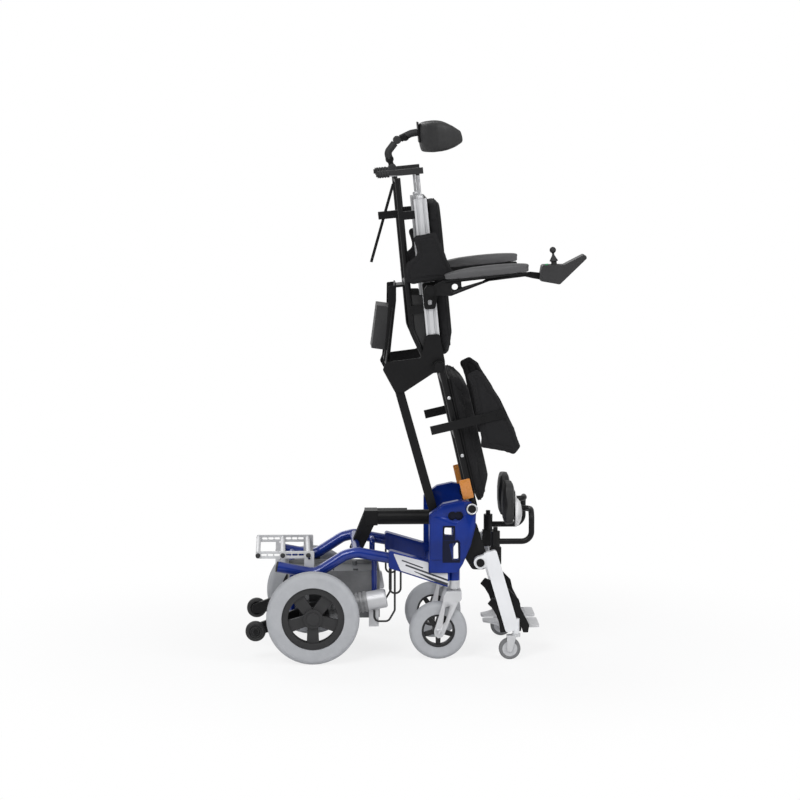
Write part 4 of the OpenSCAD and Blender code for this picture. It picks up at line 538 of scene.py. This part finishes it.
# Seat cushion. A foam block in a black woven cover, boxed at the sides and piped along
# both edges; it lies on the seat pan, thick under the thighs and thin at the knee.
weave_cloth, wire, place, shader = start_finish("weave_cloth")
thread_pitch = 0.0026
threads = [wire.sum("SINE", axis * (2 * math.pi / thread_pitch)) for axis in place.axes("XYZ")]
weave = threads[0] * threads[1] + threads[1] * threads[2] + threads[2] * threads[0]
fade = noise(wire, place, 11.0, 4.0, 0.6)
lint = noise(wire, place, 420.0, 3.0, 0.7)
join(
    shader,
    Base_Color=(weave * 0.22 + lint * 0.5).mix(
        fade.mix((0.0062, 0.0062, 0.0069, 1), (0.0102, 0.0102, 0.0110, 1)), (0.028, 0.028, 0.030, 1)
    ),
    Roughness=0.78 + fade * 0.16,
    Normal=bump(wire, weave * 0.5 + lint * 0.6, 0.0004),
)
shader.inputs["Sheen Weight"].default_value = 0.05
shader.inputs["Sheen Roughness"].default_value = 0.5
shader.inputs["Specular IOR Level"].default_value = 0.18
settle_rounds, stuffing_steps, cling = 6, 20, 0.0003


def copied(name, model):
    copy = bpy.data.objects.new(name, model.data.copy())
    scene.collection.objects.link(copy)
    copy.data.materials.clear()
    return picked(copy)


def stuffed(name, node, voxel, tuck, cap, proud, side=0, pinned=None, snug=None):
    pad = copied(name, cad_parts[node])
    bpy.ops.object.mode_set(mode="EDIT")
    bpy.ops.mesh.select_all(action="SELECT")
    bpy.ops.mesh.remove_doubles(threshold=0.0002)
    bpy.ops.mesh.select_all(action="DESELECT")
    bpy.ops.object.mode_set(mode="OBJECT")
    if side:
        for point in pad.data.vertices:
            point.select = point.co.y * side < 0
        bpy.ops.object.mode_set(mode="EDIT")
        bpy.ops.mesh.delete(type="VERT")
        bpy.ops.object.mode_set(mode="OBJECT")
    form = BVHTree.FromPolygons(
        [point.co.copy() for point in pad.data.vertices],
        [list(face.vertices) for face in pad.data.polygons],
    )
    pad.data.remesh_voxel_size = voxel
    bpy.ops.object.voxel_remesh()
    settle = pad.modifiers.new("settle", "SMOOTH")
    settle.factor, settle.iterations = 0.5, settle_rounds
    bpy.ops.object.modifier_apply(modifier="settle")
    facings = [point.normal.copy() for point in pad.data.vertices]
    for point, facing in zip(pad.data.vertices, facings):
        point.co -= facing * tuck
    begin = [point.co.copy() for point in pad.data.vertices]
    group = pad.vertex_groups.new(name="sewn")
    if pinned:
        group.add([point.index for point in pad.data.vertices if pinned(point.co)], 1.0, "REPLACE")
    cloth = pad.modifiers.new("stuffing", "CLOTH")
    cloth.settings.quality, cloth.settings.mass = 6, 0.3
    cloth.settings.tension_stiffness = cloth.settings.compression_stiffness = 12
    cloth.settings.bending_stiffness = 0.4
    cloth.settings.use_pressure, cloth.settings.uniform_pressure_force = True, 4
    cloth.settings.effector_weights.gravity = 0
    cloth.settings.vertex_group_mass = "sewn"
    cloth.collision_settings.use_collision = False
    for step in range(stuffing_steps):
        scene.frame_set(step + 1)
    bpy.ops.object.modifier_apply(modifier="stuffing")
    scene.frame_set(1)
    pad.vertex_groups.clear()
    for point, was in zip(pad.data.vertices, begin):
        shift = point.co - was
        if shift.length > cap:
            point.co = was + shift * (cap / shift.length)
        near, facing, _, _ = form.find_nearest(point.co)
        out = (point.co - near).dot(facing)
        most = cling if snug and snug(facing) else proud
        if out > most:
            point.co -= facing * (out - most)
    return pad


def sewn(pad, depth, width, inset):
    pad.data.update()
    facings = [point.normal.copy() for point in pad.data.vertices]
    rim = [point.co for point, facing in zip(pad.data.vertices, facings) if abs(facing.y) < 0.35]
    edge = KDTree(len(rim))
    for index, co in enumerate(rim):
        edge.insert(co, index)
    edge.balance()
    for point, facing in zip(pad.data.vertices, facings):
        if abs(facing.y) > 0.6:
            off = edge.find(point.co)[2] - inset
            point.co -= facing * depth * math.exp(-((off / width) ** 2))


def finished(pad, material, body, node):
    finer = pad.modifiers.new("finer", "SUBSURF")
    finer.levels = finer.render_levels = 1
    picked(pad)
    bpy.ops.object.modifier_apply(modifier="finer")
    bpy.ops.object.shade_smooth()
    pad.data.materials.append(material)
    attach(pad, body)
    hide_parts(node)


def piped(pad, name, point, normal, r, material, body):
    copied(name, pad)
    bpy.ops.object.mode_set(mode="EDIT")
    bpy.ops.mesh.select_all(action="SELECT")
    bpy.ops.mesh.bisect(plane_co=point, plane_no=normal, clear_inner=True, clear_outer=True)
    bpy.ops.mesh.select_all(action="SELECT")
    bpy.ops.mesh.remove_doubles(threshold=0.0015)
    bpy.ops.object.mode_set(mode="OBJECT")
    bpy.ops.object.convert(target="CURVE")
    cord = bpy.context.object
    cord.data.bevel_depth, cord.data.bevel_resolution = r, 2
    bpy.ops.object.convert(target="MESH")
    cord = bpy.context.object
    bpy.ops.object.shade_smooth()
    cord.data.materials.clear()
    cord.data.materials.append(material)
    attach(cord, body)


seat_along, seat_over = Vector((0.225, 0, -0.974)), Vector((0.974, 0, 0.225))
knee_axis = Vector((axle_x + 0.548, 0, 0.528))


def over_knee(co):
    return (co - knee_axis).dot(seat_over)


heights = [over_knee(point.co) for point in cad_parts["seat_cushion"].data.vertices]
seat_low, seat_high = min(heights), max(heights)
seat_pad = stuffed(
    "seat_cushion_cover", "seat_cushion", voxel=0.006, tuck=-0.003, cap=0.022, proud=0.009,
    pinned=lambda co: over_knee(co) < seat_low + 0.009,
    snug=lambda facing: facing.dot(seat_over) < -0.4 or abs(facing.y) > 0.7,
)
finished(seat_pad, weave_cloth, "seat", "seat_cushion")
piping_r = 0.0024
for name, share in (("low", 0.25), ("high", 0.62)):
    level = seat_low + share * (seat_high - seat_low)
    seam = knee_axis + seat_over * level
    piped(seat_pad, f"seat_piping_{name}", seam, seat_over, piping_r, weave_cloth, "seat")

# Thigh pads. Foam boards in the same woven cover, sewn with a border seam, piped round
# the edge and bolted to the upright bars beside the seat.
for hand, side in hands:
    pad = stuffed(
        f"thigh_pad_cover_{hand}", "thigh_pads", voxel=0.005, tuck=0.002, cap=0.008, proud=0.002, side=side
    )
    finished(pad, weave_cloth, "seat", "thigh_pads")
    sewn(pad, depth=0.0028, width=0.0030, inset=0.017)
    across = [point.co.y for point in pad.data.vertices]
    seam = (0, (min(across) + max(across)) / 2, 0)
    piped(pad, f"thigh_piping_{hand}", seam, (0, 1, 0), piping_r, weave_cloth, "seat")

# Back cushion. A tall foam pad in the woven cover, piped along the edge of its front panel
# and held to the back shell by touch tape.
back_fwd, back_up = Vector((0.9954, 0, 0.0958)), Vector((-0.0958, 0, 0.9954))
hip_axis = Vector((axle_x + 0.4355, 0, 1.0152))
pad = stuffed(
    "back_cushion_cover", "back_cushion", voxel=0.006, tuck=-0.003, cap=0.022, proud=0.009,
    snug=lambda facing: facing.dot(back_fwd) < 0.3,
)
finished(pad, weave_cloth, "back", "back_cushion")
reach = [point.co.dot(back_fwd) for point in pad.data.vertices]
seam = back_fwd * (min(reach) + 0.70 * (max(reach) - min(reach)))
piped(pad, "back_piping", seam, back_fwd, piping_r, weave_cloth, "back")

# Trunk pads. Soft side supports on stubs from the posts, with the same seam and piping; the
# cover lies in shallow folds.
fold_depth = 0.0016
for hand, side in hands:
    pad = stuffed(
        f"trunk_pad_cover_{hand}", "trunk_pads", voxel=0.005, tuck=0.002, cap=0.008, proud=0.002, side=side
    )
    for point in pad.data.vertices:
        up = (point.co - hip_axis).dot(back_up)
        wave = fractal(Vector((point.co.x * 9, side * 3.0, up * 42)), 1.0, 2.0, 3)
        point.co.y -= side * fold_depth * max(0.0, wave + 0.35)
    finished(pad, weave_cloth, "back", "trunk_pads")
    sewn(pad, depth=0.0028, width=0.0030, inset=0.015)
    across = [point.co.y for point in pad.data.vertices]
    seam = (0, (min(across) + max(across)) / 2, 0)
    piped(pad, f"trunk_piping_{hand}", seam, (0, 1, 0), piping_r, weave_cloth, "back")


# Headrest pad, arm pads and knee pads. Moulded foam with a smooth, faintly grained skin, charcoal on the
# headrest and the knees; the arm pads get a lighter grey, painted light for the light falling on their tops.
def foam_skinned(name, dark, pale, gloss):
    skin, wire, place, shader = start_finish(name)
    pores = wire.node("ShaderNodeTexVoronoi", {}, {"Vector": place, "Scale": 650.0})
    worn = noise(wire, place, 9.0, 4.0, 0.6)
    join(
        shader,
        Base_Color=worn.mix(dark, pale),
        Roughness=gloss + worn * 0.18,
        Normal=bump(wire, pores, 0.00018),
    )
    return skin


foam_skin = foam_skinned("foam_skin", (0.010, 0.010, 0.0105, 1), (0.018, 0.018, 0.019, 1), 0.46)
# Painted light: a lighter grey copy of the charcoal skin for the arm pads, standing in for the light on their
# upward faces.
lit_arm_skin = foam_skinned("lit_arm_skin", (0.055, 0.055, 0.057, 1), (0.085, 0.085, 0.088, 1), 0.44)
nose_long, nose_drop, nose_from = 0.014, 0.005, 0.35
pad = stuffed("headrest_cover", "headrest_pad", voxel=0.005, tuck=-0.002, cap=0.012, proud=0.004)
low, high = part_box("headrest_pad")
for point in pad.data.vertices:
    ahead = max(0.0, (point.co.x - low[0]) / (high[0] - low[0]) - nose_from) / (1 - nose_from)
    off = (point.co.z - low[2]) / (high[2] - low[2]) * 2 - 0.90
    point.co.x += nose_long * ahead ** 2 * max(0.0, 1 - off * off)
    point.co.z -= nose_drop * ahead ** 2
finished(pad, foam_skin, "headrest_upper", "headrest_pad")
for hand, _ in hands:
    pad = stuffed(
        f"armrest_cover_{hand}", f"armrest_pad_{hand}", voxel=0.004, tuck=0.003, cap=0.008, proud=0.002
    )
    finished(pad, lit_arm_skin, f"armrest_{hand}", f"armrest_pad_{hand}")
    pad = stuffed(f"knee_cover_{hand}", f"knee_pad_{hand}", voxel=0.004, tuck=0.003, cap=0.010, proud=0.002)
    finished(pad, foam_skin, f"knee_{hand}", f"knee_pad_{hand}")


# Beam panels. Pressed alloy trims, brushed and lacquered, taped to the outer faces of the front castings;
# flutes run along them, coloured near-black as painted shade in the grooves.
def cut_plate(name, corners, y, thick, corner_r, edge_r):
    bpy.ops.object.select_all(action="DESELECT")
    bpy.ops.mesh.primitive_circle_add(vertices=len(corners), radius=0.1, fill_type="NGON")
    plate = bpy.context.object
    plate.name = plate.data.name = name
    for point, (x, z) in zip(plate.data.vertices, corners):
        point.co = (x, y, z)
    bpy.ops.object.mode_set(mode="EDIT")
    bpy.ops.mesh.select_all(action="SELECT")
    bpy.ops.mesh.bevel(affect="VERTICES", offset=corner_r, segments=6)
    bpy.ops.mesh.select_all(action="SELECT")
    bpy.ops.mesh.extrude_region_move(TRANSFORM_OT_translate={"value": (0, thick, 0)})
    bpy.ops.mesh.select_all(action="SELECT")
    bpy.ops.mesh.normals_make_consistent(inside=False)
    bpy.ops.object.mode_set(mode="OBJECT")
    return rounded_off(plate, edge_r)


def rounded_off(piece, edge_r):
    picked(piece)
    edge = piece.modifiers.new("edge", "BEVEL")
    edge.width, edge.segments, edge.limit_method = edge_r, 3, "ANGLE"
    bpy.ops.object.modifier_apply(modifier="edge")
    bpy.ops.object.shade_smooth_by_angle(angle=math.radians(40))
    return piece


def fitted(piece, material, body):
    piece.data.materials.clear()
    piece.data.materials.append(material)
    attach(piece, body)
    return piece


fluted_alloy, wire, place, shader = start_finish("fluted_alloy")
x, z = place.axes("XZ")
panel_x, panel_z = axle_x + 0.278, 0.373
along = (x - panel_x) * 0.937 - (z - panel_z) * 0.349
across = (x - panel_x) * 0.349 + (z - panel_z) * 0.937
shaded_flutes = None
# Painted shade: the flute masks below darken the grooves to near-black, stand in for the shade inside them,
# and press them in by bump.
for start, stop, low, high, flare in (
    (0.034, 0.112, -0.0150, -0.0105, 0.00),
    (0.052, 0.230, -0.0265, -0.0205, 0.00),
    (0.088, 0.230, -0.0350, -0.0330, 0.10),
):
    wide = edge_at(along, start, start + 0.003) * (1 - edge_at(along, stop, stop + 0.003))
    spread = (along - start) * flare
    one = wide * edge_at(across + spread, low, low + 0.001) * (1 - edge_at(across, high, high + 0.001))
    shaded_flutes = one if shaded_flutes is None else wire.sum("MAXIMUM", shaded_flutes, one)
drawn_out = wire.node(
    "ShaderNodeMapping", {}, {"Vector": place, "Rotation": (0, 0.356, 0), "Scale": (12, 700, 700)}
)
brush = noise(wire, drawn_out, 1.0, 3.0)
join(
    shader,
    Base_Color=shaded_flutes.mix(
        brush.mix((0.62, 0.625, 0.65, 1), (0.74, 0.745, 0.77, 1)), (0.022, 0.024, 0.034, 1)
    ),
    Roughness=0.26 + brush * 0.12 + shaded_flutes * 0.15,
    Metallic=0.35 - shaded_flutes * 0.3,
    Coat_Weight=0.5 - shaded_flutes * 0.3,
    Normal=bump(wire, brush * 0.06 - shaded_flutes, 0.0008),
)
for hand, side in hands:
    panel = cut_plate(
        f"beam_panel_{hand}",
        side_on(((278, 373), (303, 313), (466, 259), (466, 304), (399.5, 304), (399.5, 341))),
        y=side * 0.2281, thick=side * 0.0018, corner_r=0.004, edge_r=0.0006,
    )
    fitted(panel, fluted_alloy, "base")


# Column covers. Cast covers bolted on the outer faces of the columns: two legs under a
# rounded head, in the blue of the frame, with an oblong opening over the well.
def cut_out(plate, mould):
    opening = plate.modifiers.new("opening", "BOOLEAN")
    opening.object, opening.operation = mould, "DIFFERENCE"
    picked(plate)
    bpy.ops.object.modifier_apply(modifier="opening")
    bpy.data.objects.remove(mould)
    return plate


def joined(pieces):
    picked(pieces[0])
    for piece in pieces[1:]:
        piece.select_set(True)
    bpy.ops.object.join()
    return pieces[0]


def oblong(x, z, half, r):
    turns = [math.pi * step / 12 for step in range(24)]
    return [
        (x + math.copysign(half, math.cos(turn)) + r * math.cos(turn), z + r * math.sin(turn))
        for turn in turns
    ]


for hand, side in hands:
    cover = cut_plate(
        f"column_cover_{hand}",
        side_on((
            (405, 352), (405, 507), (450, 542), (502, 553), (523, 552), (525, 531), (532, 512), (547, 504.5),
            (557, 500), (556, 468), (541, 402), (522, 352), (508, 352), (508, 413), (492, 428), (490, 470),
            (448, 470), (446, 352),
        )),
        y=side * 0.2391, thick=side * 0.0050, corner_r=0.004, edge_r=0.0014,
    )
    mould = cut_plate(
        "well_mould", side_on(oblong(491.8, 504.4, 11, 15.5)),
        y=side * 0.232, thick=side * 0.020, corner_r=0.0003, edge_r=0.0002,
    )
    cut_out(cover, mould)
    fitted(cover, blue_lacquer, "base")

# Foot clamps. Black cast jaws bolted to the inner faces of the leg bars, behind and ahead of
# the footplate hinges.
for hand, side in hands:
    for end, corners in (
        (
            "rear",
            (
                (622, 212), (605, 191), (620, 177), (635, 152), (645, 125),
                (649, 90), (676, 92), (668, 151), (648, 200),
            ),
        ),
        ("front", ((670, 251), (714, 206), (721, 174), (750, 117), (746, 90), (729, 90), (710, 141))),
    ):
        jaw = cut_plate(
            f"foot_clamp_{hand}_{end}", side_on(corners),
            y=side * 0.2003, thick=side * 0.0084, corner_r=0.003, edge_r=0.0012,
        )
        fitted(jaw, black_powder, "leg_rest")

# Box flanges. The folded sides of the steel sheet that carries the electronics box, sawn
# to a slim wedge and powder coated.
for hand, side in hands:
    flange = cut_plate(
        f"box_flange_{hand}",
        side_on((
            (266, 1285), (293, 1288), (293, 1235), (279, 1111),
            (270, 1024), (249, 1024), (260, 1142), (265, 1217),
        )),
        y=side * 0.0884, thick=side * 0.0025, corner_r=0.003, edge_r=0.0006,
    )
    fitted(flange, black_powder, "back")

# Side reflectors. Amber acrylic tiles, moulded with small square prisms at the back, clipped
# on the outer side of the seat tubes.
amber_tile, wire, place, shader = start_finish("amber_tile")
prism_pitch = 0.004
rows = [wire.sum("SINE", axis * (2 * math.pi / prism_pitch)) for axis in place.axes("XZ")]
prism = wire.sum("ABSOLUTE", rows[0] * rows[1])
haze = noise(wire, place, 60.0, 4.0)
join(
    shader,
    Base_Color=prism.mix(
        haze.mix((0.42, 0.120, 0.012, 1), (0.52, 0.170, 0.020, 1)), (0.68, 0.29, 0.05, 1)
    ),
    Roughness=0.20 + haze * 0.14,
    Coat_Weight=0.6,
    Normal=bump(wire, prism, 0.0002, soft_edge(wire, 0.0008)),
)
for hand, side in hands:
    spots = [
        knee_axis + seat_along * along + seat_over * over
        for along, over in ((-0.100, -0.021), (-0.100, 0.017), (-0.031, 0.017), (-0.031, -0.021))
    ]
    tile = cut_plate(
        f"side_reflector_{hand}", [(spot.x, spot.z) for spot in spots],
        y=side * 0.1966, thick=side * 0.0042, corner_r=0.004, edge_r=0.0012,
    )
    fitted(tile, amber_tile, "seat")

# Knee shells. White moulded dishes screwed to the plates behind the knee pads, closed by the
# pads and open behind.
dish_white, wire, place, shader = start_finish("dish_white")
cells = wire.node("ShaderNodeTexVoronoi", {}, {"Vector": place, "Scale": 800.0})
cloud = noise(wire, place, 14.0, 4.0)
join(
    shader,
    Base_Color=cloud.mix((0.74, 0.74, 0.75, 1), (0.82, 0.82, 0.83, 1)),
    Roughness=0.36 + cloud * 0.14,
    Normal=bump(wire, cells, 0.00006),
)
dish_x, dish_y, dish_z = axle_x + 0.7045, 0.112, 0.497
dish_half, dish_wall, dish_edge = (0.026, 0.046, 0.052), 0.0025, 0.0008
for hand, side in hands:
    bpy.ops.object.select_all(action="DESELECT")
    bpy.ops.mesh.primitive_uv_sphere_add(segments=48, ring_count=24, radius=1.0)
    shell = bpy.context.object
    shell.name = shell.data.name = f"knee_shell_{hand}"
    bpy.ops.object.mode_set(mode="EDIT")
    bpy.ops.mesh.select_all(action="SELECT")
    bpy.ops.mesh.bisect(plane_co=(0, 0, 0), plane_no=(1, 0, 0), clear_inner=True)
    bpy.ops.mesh.select_all(action="SELECT")
    bpy.ops.transform.resize(value=dish_half, center_override=(0, 0, 0))
    bpy.ops.transform.translate(value=(dish_x, side * dish_y, dish_z))
    bpy.ops.object.mode_set(mode="OBJECT")
    wall = shell.modifiers.new("wall", "SOLIDIFY")
    wall.thickness, wall.offset = dish_wall, -1
    bpy.ops.object.modifier_apply(modifier="wall")
    rounded_off(shell, dish_edge)
    fitted(shell, dish_white, f"knee_{hand}")


# Tube ends. Moulded plugs with a shallow dish, pressed into the open ends of the rack
# tubes and the side tubes.
def tube_plug(name, centre, way, r, proud):
    bpy.ops.object.select_all(action="DESELECT")
    bpy.ops.mesh.primitive_cylinder_add(vertices=40, radius=r, depth=proud, end_fill_type="NGON")
    plug = bpy.context.object
    plug.name = plug.data.name = name
    bpy.ops.object.mode_set(mode="EDIT")
    bpy.ops.mesh.select_all(action="DESELECT")
    bpy.ops.object.mode_set(mode="OBJECT")
    for face in plug.data.polygons:
        face.select = face.normal.z > 0.9
    bpy.ops.object.mode_set(mode="EDIT")
    bpy.ops.mesh.inset(thickness=r * 0.45, depth=proud * 0.35)
    bpy.ops.object.mode_set(mode="OBJECT")
    turn = Vector(way).to_track_quat("Z", "Y")
    for point in plug.data.vertices:
        point.co = Vector(centre) + turn @ (point.co + Vector((0, 0, proud / 2)))
    return rounded_off(plug, min(r * 0.2, proud * 0.3))


for hand, side in hands:
    for number, at in enumerate((-188.0, -102.5, -14.1), 1):
        plug = tube_plug(
            f"rack_plug_{hand}_{number}", (axle_x + at / 1000, side * 0.1961, 0.363), (0, side, 0),
            r=0.0085, proud=0.004,
        )
        fitted(plug, moulded_black, "base")
    plug = tube_plug(
        f"rail_plug_{hand}", (axle_x - 0.1201, side * 0.205, 0.3250), (-0.982, 0, 0.189),
        r=0.0185, proud=0.005,
    )
    fitted(plug, moulded_black, "base")

# Caster forks. Forged alloy forks: a crown on the swivel stem, two slotted arms that taper
# to the axle, and the axle bolt with its heads.
for hand, side in hands:
    bits = [
        cut_plate(
            f"caster_fork_body_{hand}",
            side_on(((462, 240), (514, 240), (514, 212), (506, 203), (450, 203), (450, 222))),
            y=side * 0.1640, thick=side * 0.0720, corner_r=0.003, edge_r=0.0025,
        )
    ]
    for y in (0.1650, 0.2270):
        arm = cut_plate(
            "fork_arm",
            side_on((
                (452, 216), (508, 216), (500, 197), (473, 138), (455, 92),
                (447, 80), (433, 76), (420, 86), (419, 104), (437, 160),
            )),
            y=side * y, thick=side * 0.008, corner_r=0.002, edge_r=0.0012,
        )
        mould = cut_plate(
            "slot_mould", side_on(((457, 184), (473, 190), (471, 178), (457, 132), (449, 124))),
            y=side * (y - 0.006), thick=side * 0.020, corner_r=0.0015, edge_r=0.0002,
        )
        bits.append(cut_out(arm, mould))
    wheel_x, wheel_z = axle_x + 0.434, 0.100
    bits.append(
        tube_plug("fork_axle", (wheel_x, side * 0.1600, wheel_z), (0, side, 0), r=0.0075, proud=0.0800)
    )
    for y, way in ((0.1648, -side), (0.2352, side)):
        bits.append(tube_plug("fork_bolt", (wheel_x, side * y, wheel_z), (0, way, 0), r=0.0105, proud=0.0040))
    stem_foot = (axle_x + 0.489, side * 0.200, 0.2385)
    bits.append(tube_plug("fork_stem", stem_foot, (0, 0, 1), r=0.0105, proud=0.0300))
    fork = fitted(joined(bits), silver_anodised, f"caster_{hand}")
    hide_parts(f"caster_fork_{hand}")


# Armrest frames. Sawn steel plates on a turned hub, with a brace under the front bar, a round
# hole and a long window, and a flat strip that carries the pad.
def back_spot(fwd, up):
    return hip_axis + (back_fwd * fwd + back_up * up) / 1000


def on_back(corners):
    spots = [back_spot(fwd, up) for fwd, up in corners]
    return [(spot.x, spot.z) for spot in spots]


for hand, side in hands:
    hub = copied(f"armrest_bracket_{hand}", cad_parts[f"armrest_frame_{hand}"])
    bpy.ops.object.mode_set(mode="EDIT")
    bpy.ops.mesh.select_all(action="SELECT")
    bpy.ops.mesh.remove_doubles(threshold=0.00005)
    bpy.ops.mesh.select_all(action="SELECT")
    bpy.ops.mesh.bisect(
        plane_co=tuple(back_spot(20, 0)), plane_no=tuple(back_fwd), use_fill=True, clear_outer=True,
    )
    bpy.ops.object.mode_set(mode="OBJECT")
    bar = cut_plate(
        "arm_bar", on_back(((14, 250), (62, 243), (196, 281), (330, 285), (330, 299), (41, 299), (14, 288))),
        y=side * 0.2452, thick=side * 0.0116, corner_r=0.002, edge_r=0.0010,
    )
    for corners, r in (
        (oblong(78, 273, 0, 10.5), 0.0003),
        (((101, 269), (101, 288.5), (186, 289.5), (174, 283)), 0.003),
    ):
        mould = cut_plate(
            "window_mould", on_back(corners), y=side * 0.240, thick=side * 0.022, corner_r=r, edge_r=0.0002
        )
        cut_out(bar, mould)
    strip = cut_plate(
        "arm_strip", on_back(((48, 294.9), (329, 294.9), (329, 298.9), (48, 298.9))),
        y=side * 0.2477, thick=side * 0.0346, corner_r=0.0008, edge_r=0.0006,
    )
    bits = [hub, bar, strip]
    if hand == "right":
        nose = cut_plate(
            "arm_nose", on_back(((318, 299), (340, 299), (374, 292), (374, 268), (345, 276), (318, 285))),
            y=side * 0.2453, thick=side * 0.0114, corner_r=0.002, edge_r=0.0010,
        )
        bits.append(nose)
    bracket = fitted(joined(bits), black_powder, f"armrest_{hand}")
    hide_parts(f"armrest_frame_{hand}")

# Back side panels. Flat black sheets slotted into the rear grooves of the posts and clipped
# over the canes; they close the gap from the armrests down to the hips.
panel_black, wire, place, shader = start_finish("panel_black")
cells = wire.node("ShaderNodeTexVoronoi", {}, {"Vector": place, "Scale": 500.0})
haze = noise(wire, place, 13.0, 4.0)
join(
    shader,
    Base_Color=haze.mix((0.004, 0.004, 0.0045, 1), (0.008, 0.008, 0.0085, 1)),
    Roughness=0.36 + haze * 0.18,
    Normal=bump(wire, cells, 0.00015, soft_edge(wire, 0.0008)),
)
for hand, side in hands:
    panel = cut_plate(
        f"back_side_panel_{hand}",
        on_back(((-78, 252), (-78, 132), (-46, 34), (-30.6, 30), (-30.6, 248))),
        y=side * 0.1485, thick=side * 0.003, corner_r=0.006, edge_r=0.0008,
    )
    fitted(panel, panel_black, "back")

# Headrest sleeves. Moulded rubber sleeves pulled over the two bent arms of the headrest, so
# that they read as one thick swan neck, and short boots over the two pivots.
sleeve_r, sleeve_edge, sleeve_bend = 0.0128, 0.002, 0.022
for name, body, spots in (
    ("headrest_sleeve_low", "headrest_lower", ((-93.0, 711.0), (-99.0, 740.0), (-71.0, 770.5))),
    ("headrest_sleeve_high", "headrest_upper", ((-50.0, 783.5), (-12.0, 797.5), (10.5, 799.5))),
):
    route = rounded_route([back_spot(fwd, up) for fwd, up in spots], sleeve_bend)
    sleeve = swept(name, route, sleeve_r, 8)
    fitted(rounded_off(sleeve, sleeve_edge), black_rubber, body)
for name, body, fwd, up in (
    ("headrest_boot_low", "back", -88, 687),
    ("headrest_boot_mid", "headrest_lower", -62, 780),
):
    spot = back_spot(fwd, up)
    boot = tube_plug(name, (spot.x, -0.0165, spot.z), (0, 1, 0), r=0.0142, proud=0.033)
    fitted(boot, black_rubber, body)

# Joystick gaiter. A folded rubber bellows under the joystick's boot; its round foot turns
# in the pod's pocket about the same centre as the stick.
profile = (
    (12.6, 9.4), (12.0, 10.6), (11.0, 12.2), (9.6, 13.8), (10.2, 16.0),
    (9.2, 18.0), (9.8, 20.6), (9.2, 22.2), (13.8, 24.9), (4.2, 25.4),
)
stick_centre = back_spot(421, 304) + Vector((0, -0.265, 0))
gaiter_wall = 0.0007
bpy.ops.object.select_all(action="DESELECT")
bpy.ops.mesh.primitive_circle_add(vertices=len(profile), radius=0.01, fill_type="NOTHING")
gaiter = bpy.context.object
gaiter.name = gaiter.data.name = "joystick_gaiter"
bpy.ops.object.mode_set(mode="EDIT")
bpy.ops.mesh.select_all(action="DESELECT")
bpy.ops.object.mode_set(mode="OBJECT")
for edge in gaiter.data.edges:
    edge.select = set(edge.vertices) == {0, len(profile) - 1}
for point, (r, up) in zip(gaiter.data.vertices, profile):
    point.co = stick_centre + (back_fwd * r + back_up * up) / 1000
bpy.ops.object.mode_set(mode="EDIT")
bpy.ops.mesh.delete(type="EDGE")
bpy.ops.mesh.select_all(action="SELECT")
bpy.ops.mesh.spin(steps=48, angle=2 * math.pi, center=tuple(stick_centre), axis=tuple(back_up))
bpy.ops.mesh.select_all(action="SELECT")
bpy.ops.mesh.remove_doubles(threshold=0.00005)
bpy.ops.mesh.normals_make_consistent(inside=False)
bpy.ops.object.mode_set(mode="OBJECT")
wall = gaiter.modifiers.new("wall", "SOLIDIFY")
wall.thickness, wall.offset = gaiter_wall, -1
bpy.ops.object.modifier_apply(modifier="wall")
bpy.ops.object.shade_smooth_by_angle(angle=math.radians(70))
fitted(gaiter, black_rubber, "stick")

# Screws. Zinc-plated button heads with a socket: two on each thigh bar, two on each seat
# tube, and one turned ring round each knee pin.
zinc_plate, wire, place, shader = start_finish("zinc_plate")
cloud = noise(wire, place, 120.0, 4.0)
join(
    shader,
    Base_Color=cloud.mix((0.52, 0.53, 0.55, 1), (0.68, 0.68, 0.69, 1)),
    Roughness=0.28 + cloud * 0.16,
    Metallic=0.75,
)
for hand, side in hands:
    for number, along, over, y in (
        (1, -0.296, 0.109, 0.2390),
        (2, -0.296, 0.164, 0.2390),
        (3, -0.387, 0.010, 0.1950),
        (4, -0.182, 0.010, 0.1950),
    ):
        spot = knee_axis + seat_along * along + seat_over * over
        head = tube_plug(
            f"seat_screw_{hand}_{number}", (spot.x, side * y, spot.z), (0, side, 0), r=0.0062, proud=0.0036
        )
        fitted(head, zinc_plate, "seat")
    bpy.ops.object.select_all(action="DESELECT")
    bpy.ops.mesh.primitive_torus_add(
        major_segments=48, minor_segments=12, major_radius=0.0165, minor_radius=0.0030,
        location=(knee_axis.x, side * 0.2440, knee_axis.z), rotation=(math.pi / 2, 0, 0),
    )
    ring = bpy.context.object
    ring.name = ring.data.name = f"knee_ring_{hand}"
    bpy.ops.object.transform_apply(location=True, rotation=True, scale=True)
    bpy.ops.object.shade_smooth()
    fitted(ring, zinc_plate, "seat")

# Post collars. Turned alloy clamp rings that sit on the post tops and lock the rods of the
# push handles.
for hand, side in hands:
    spot = back_spot(-8, 577.1)
    collar = tube_plug(
        f"post_collar_{hand}", (spot.x, side * 0.149, spot.z), tuple(back_up), r=0.0125, proud=0.010
    )
    fitted(collar, silver_anodised, "back")
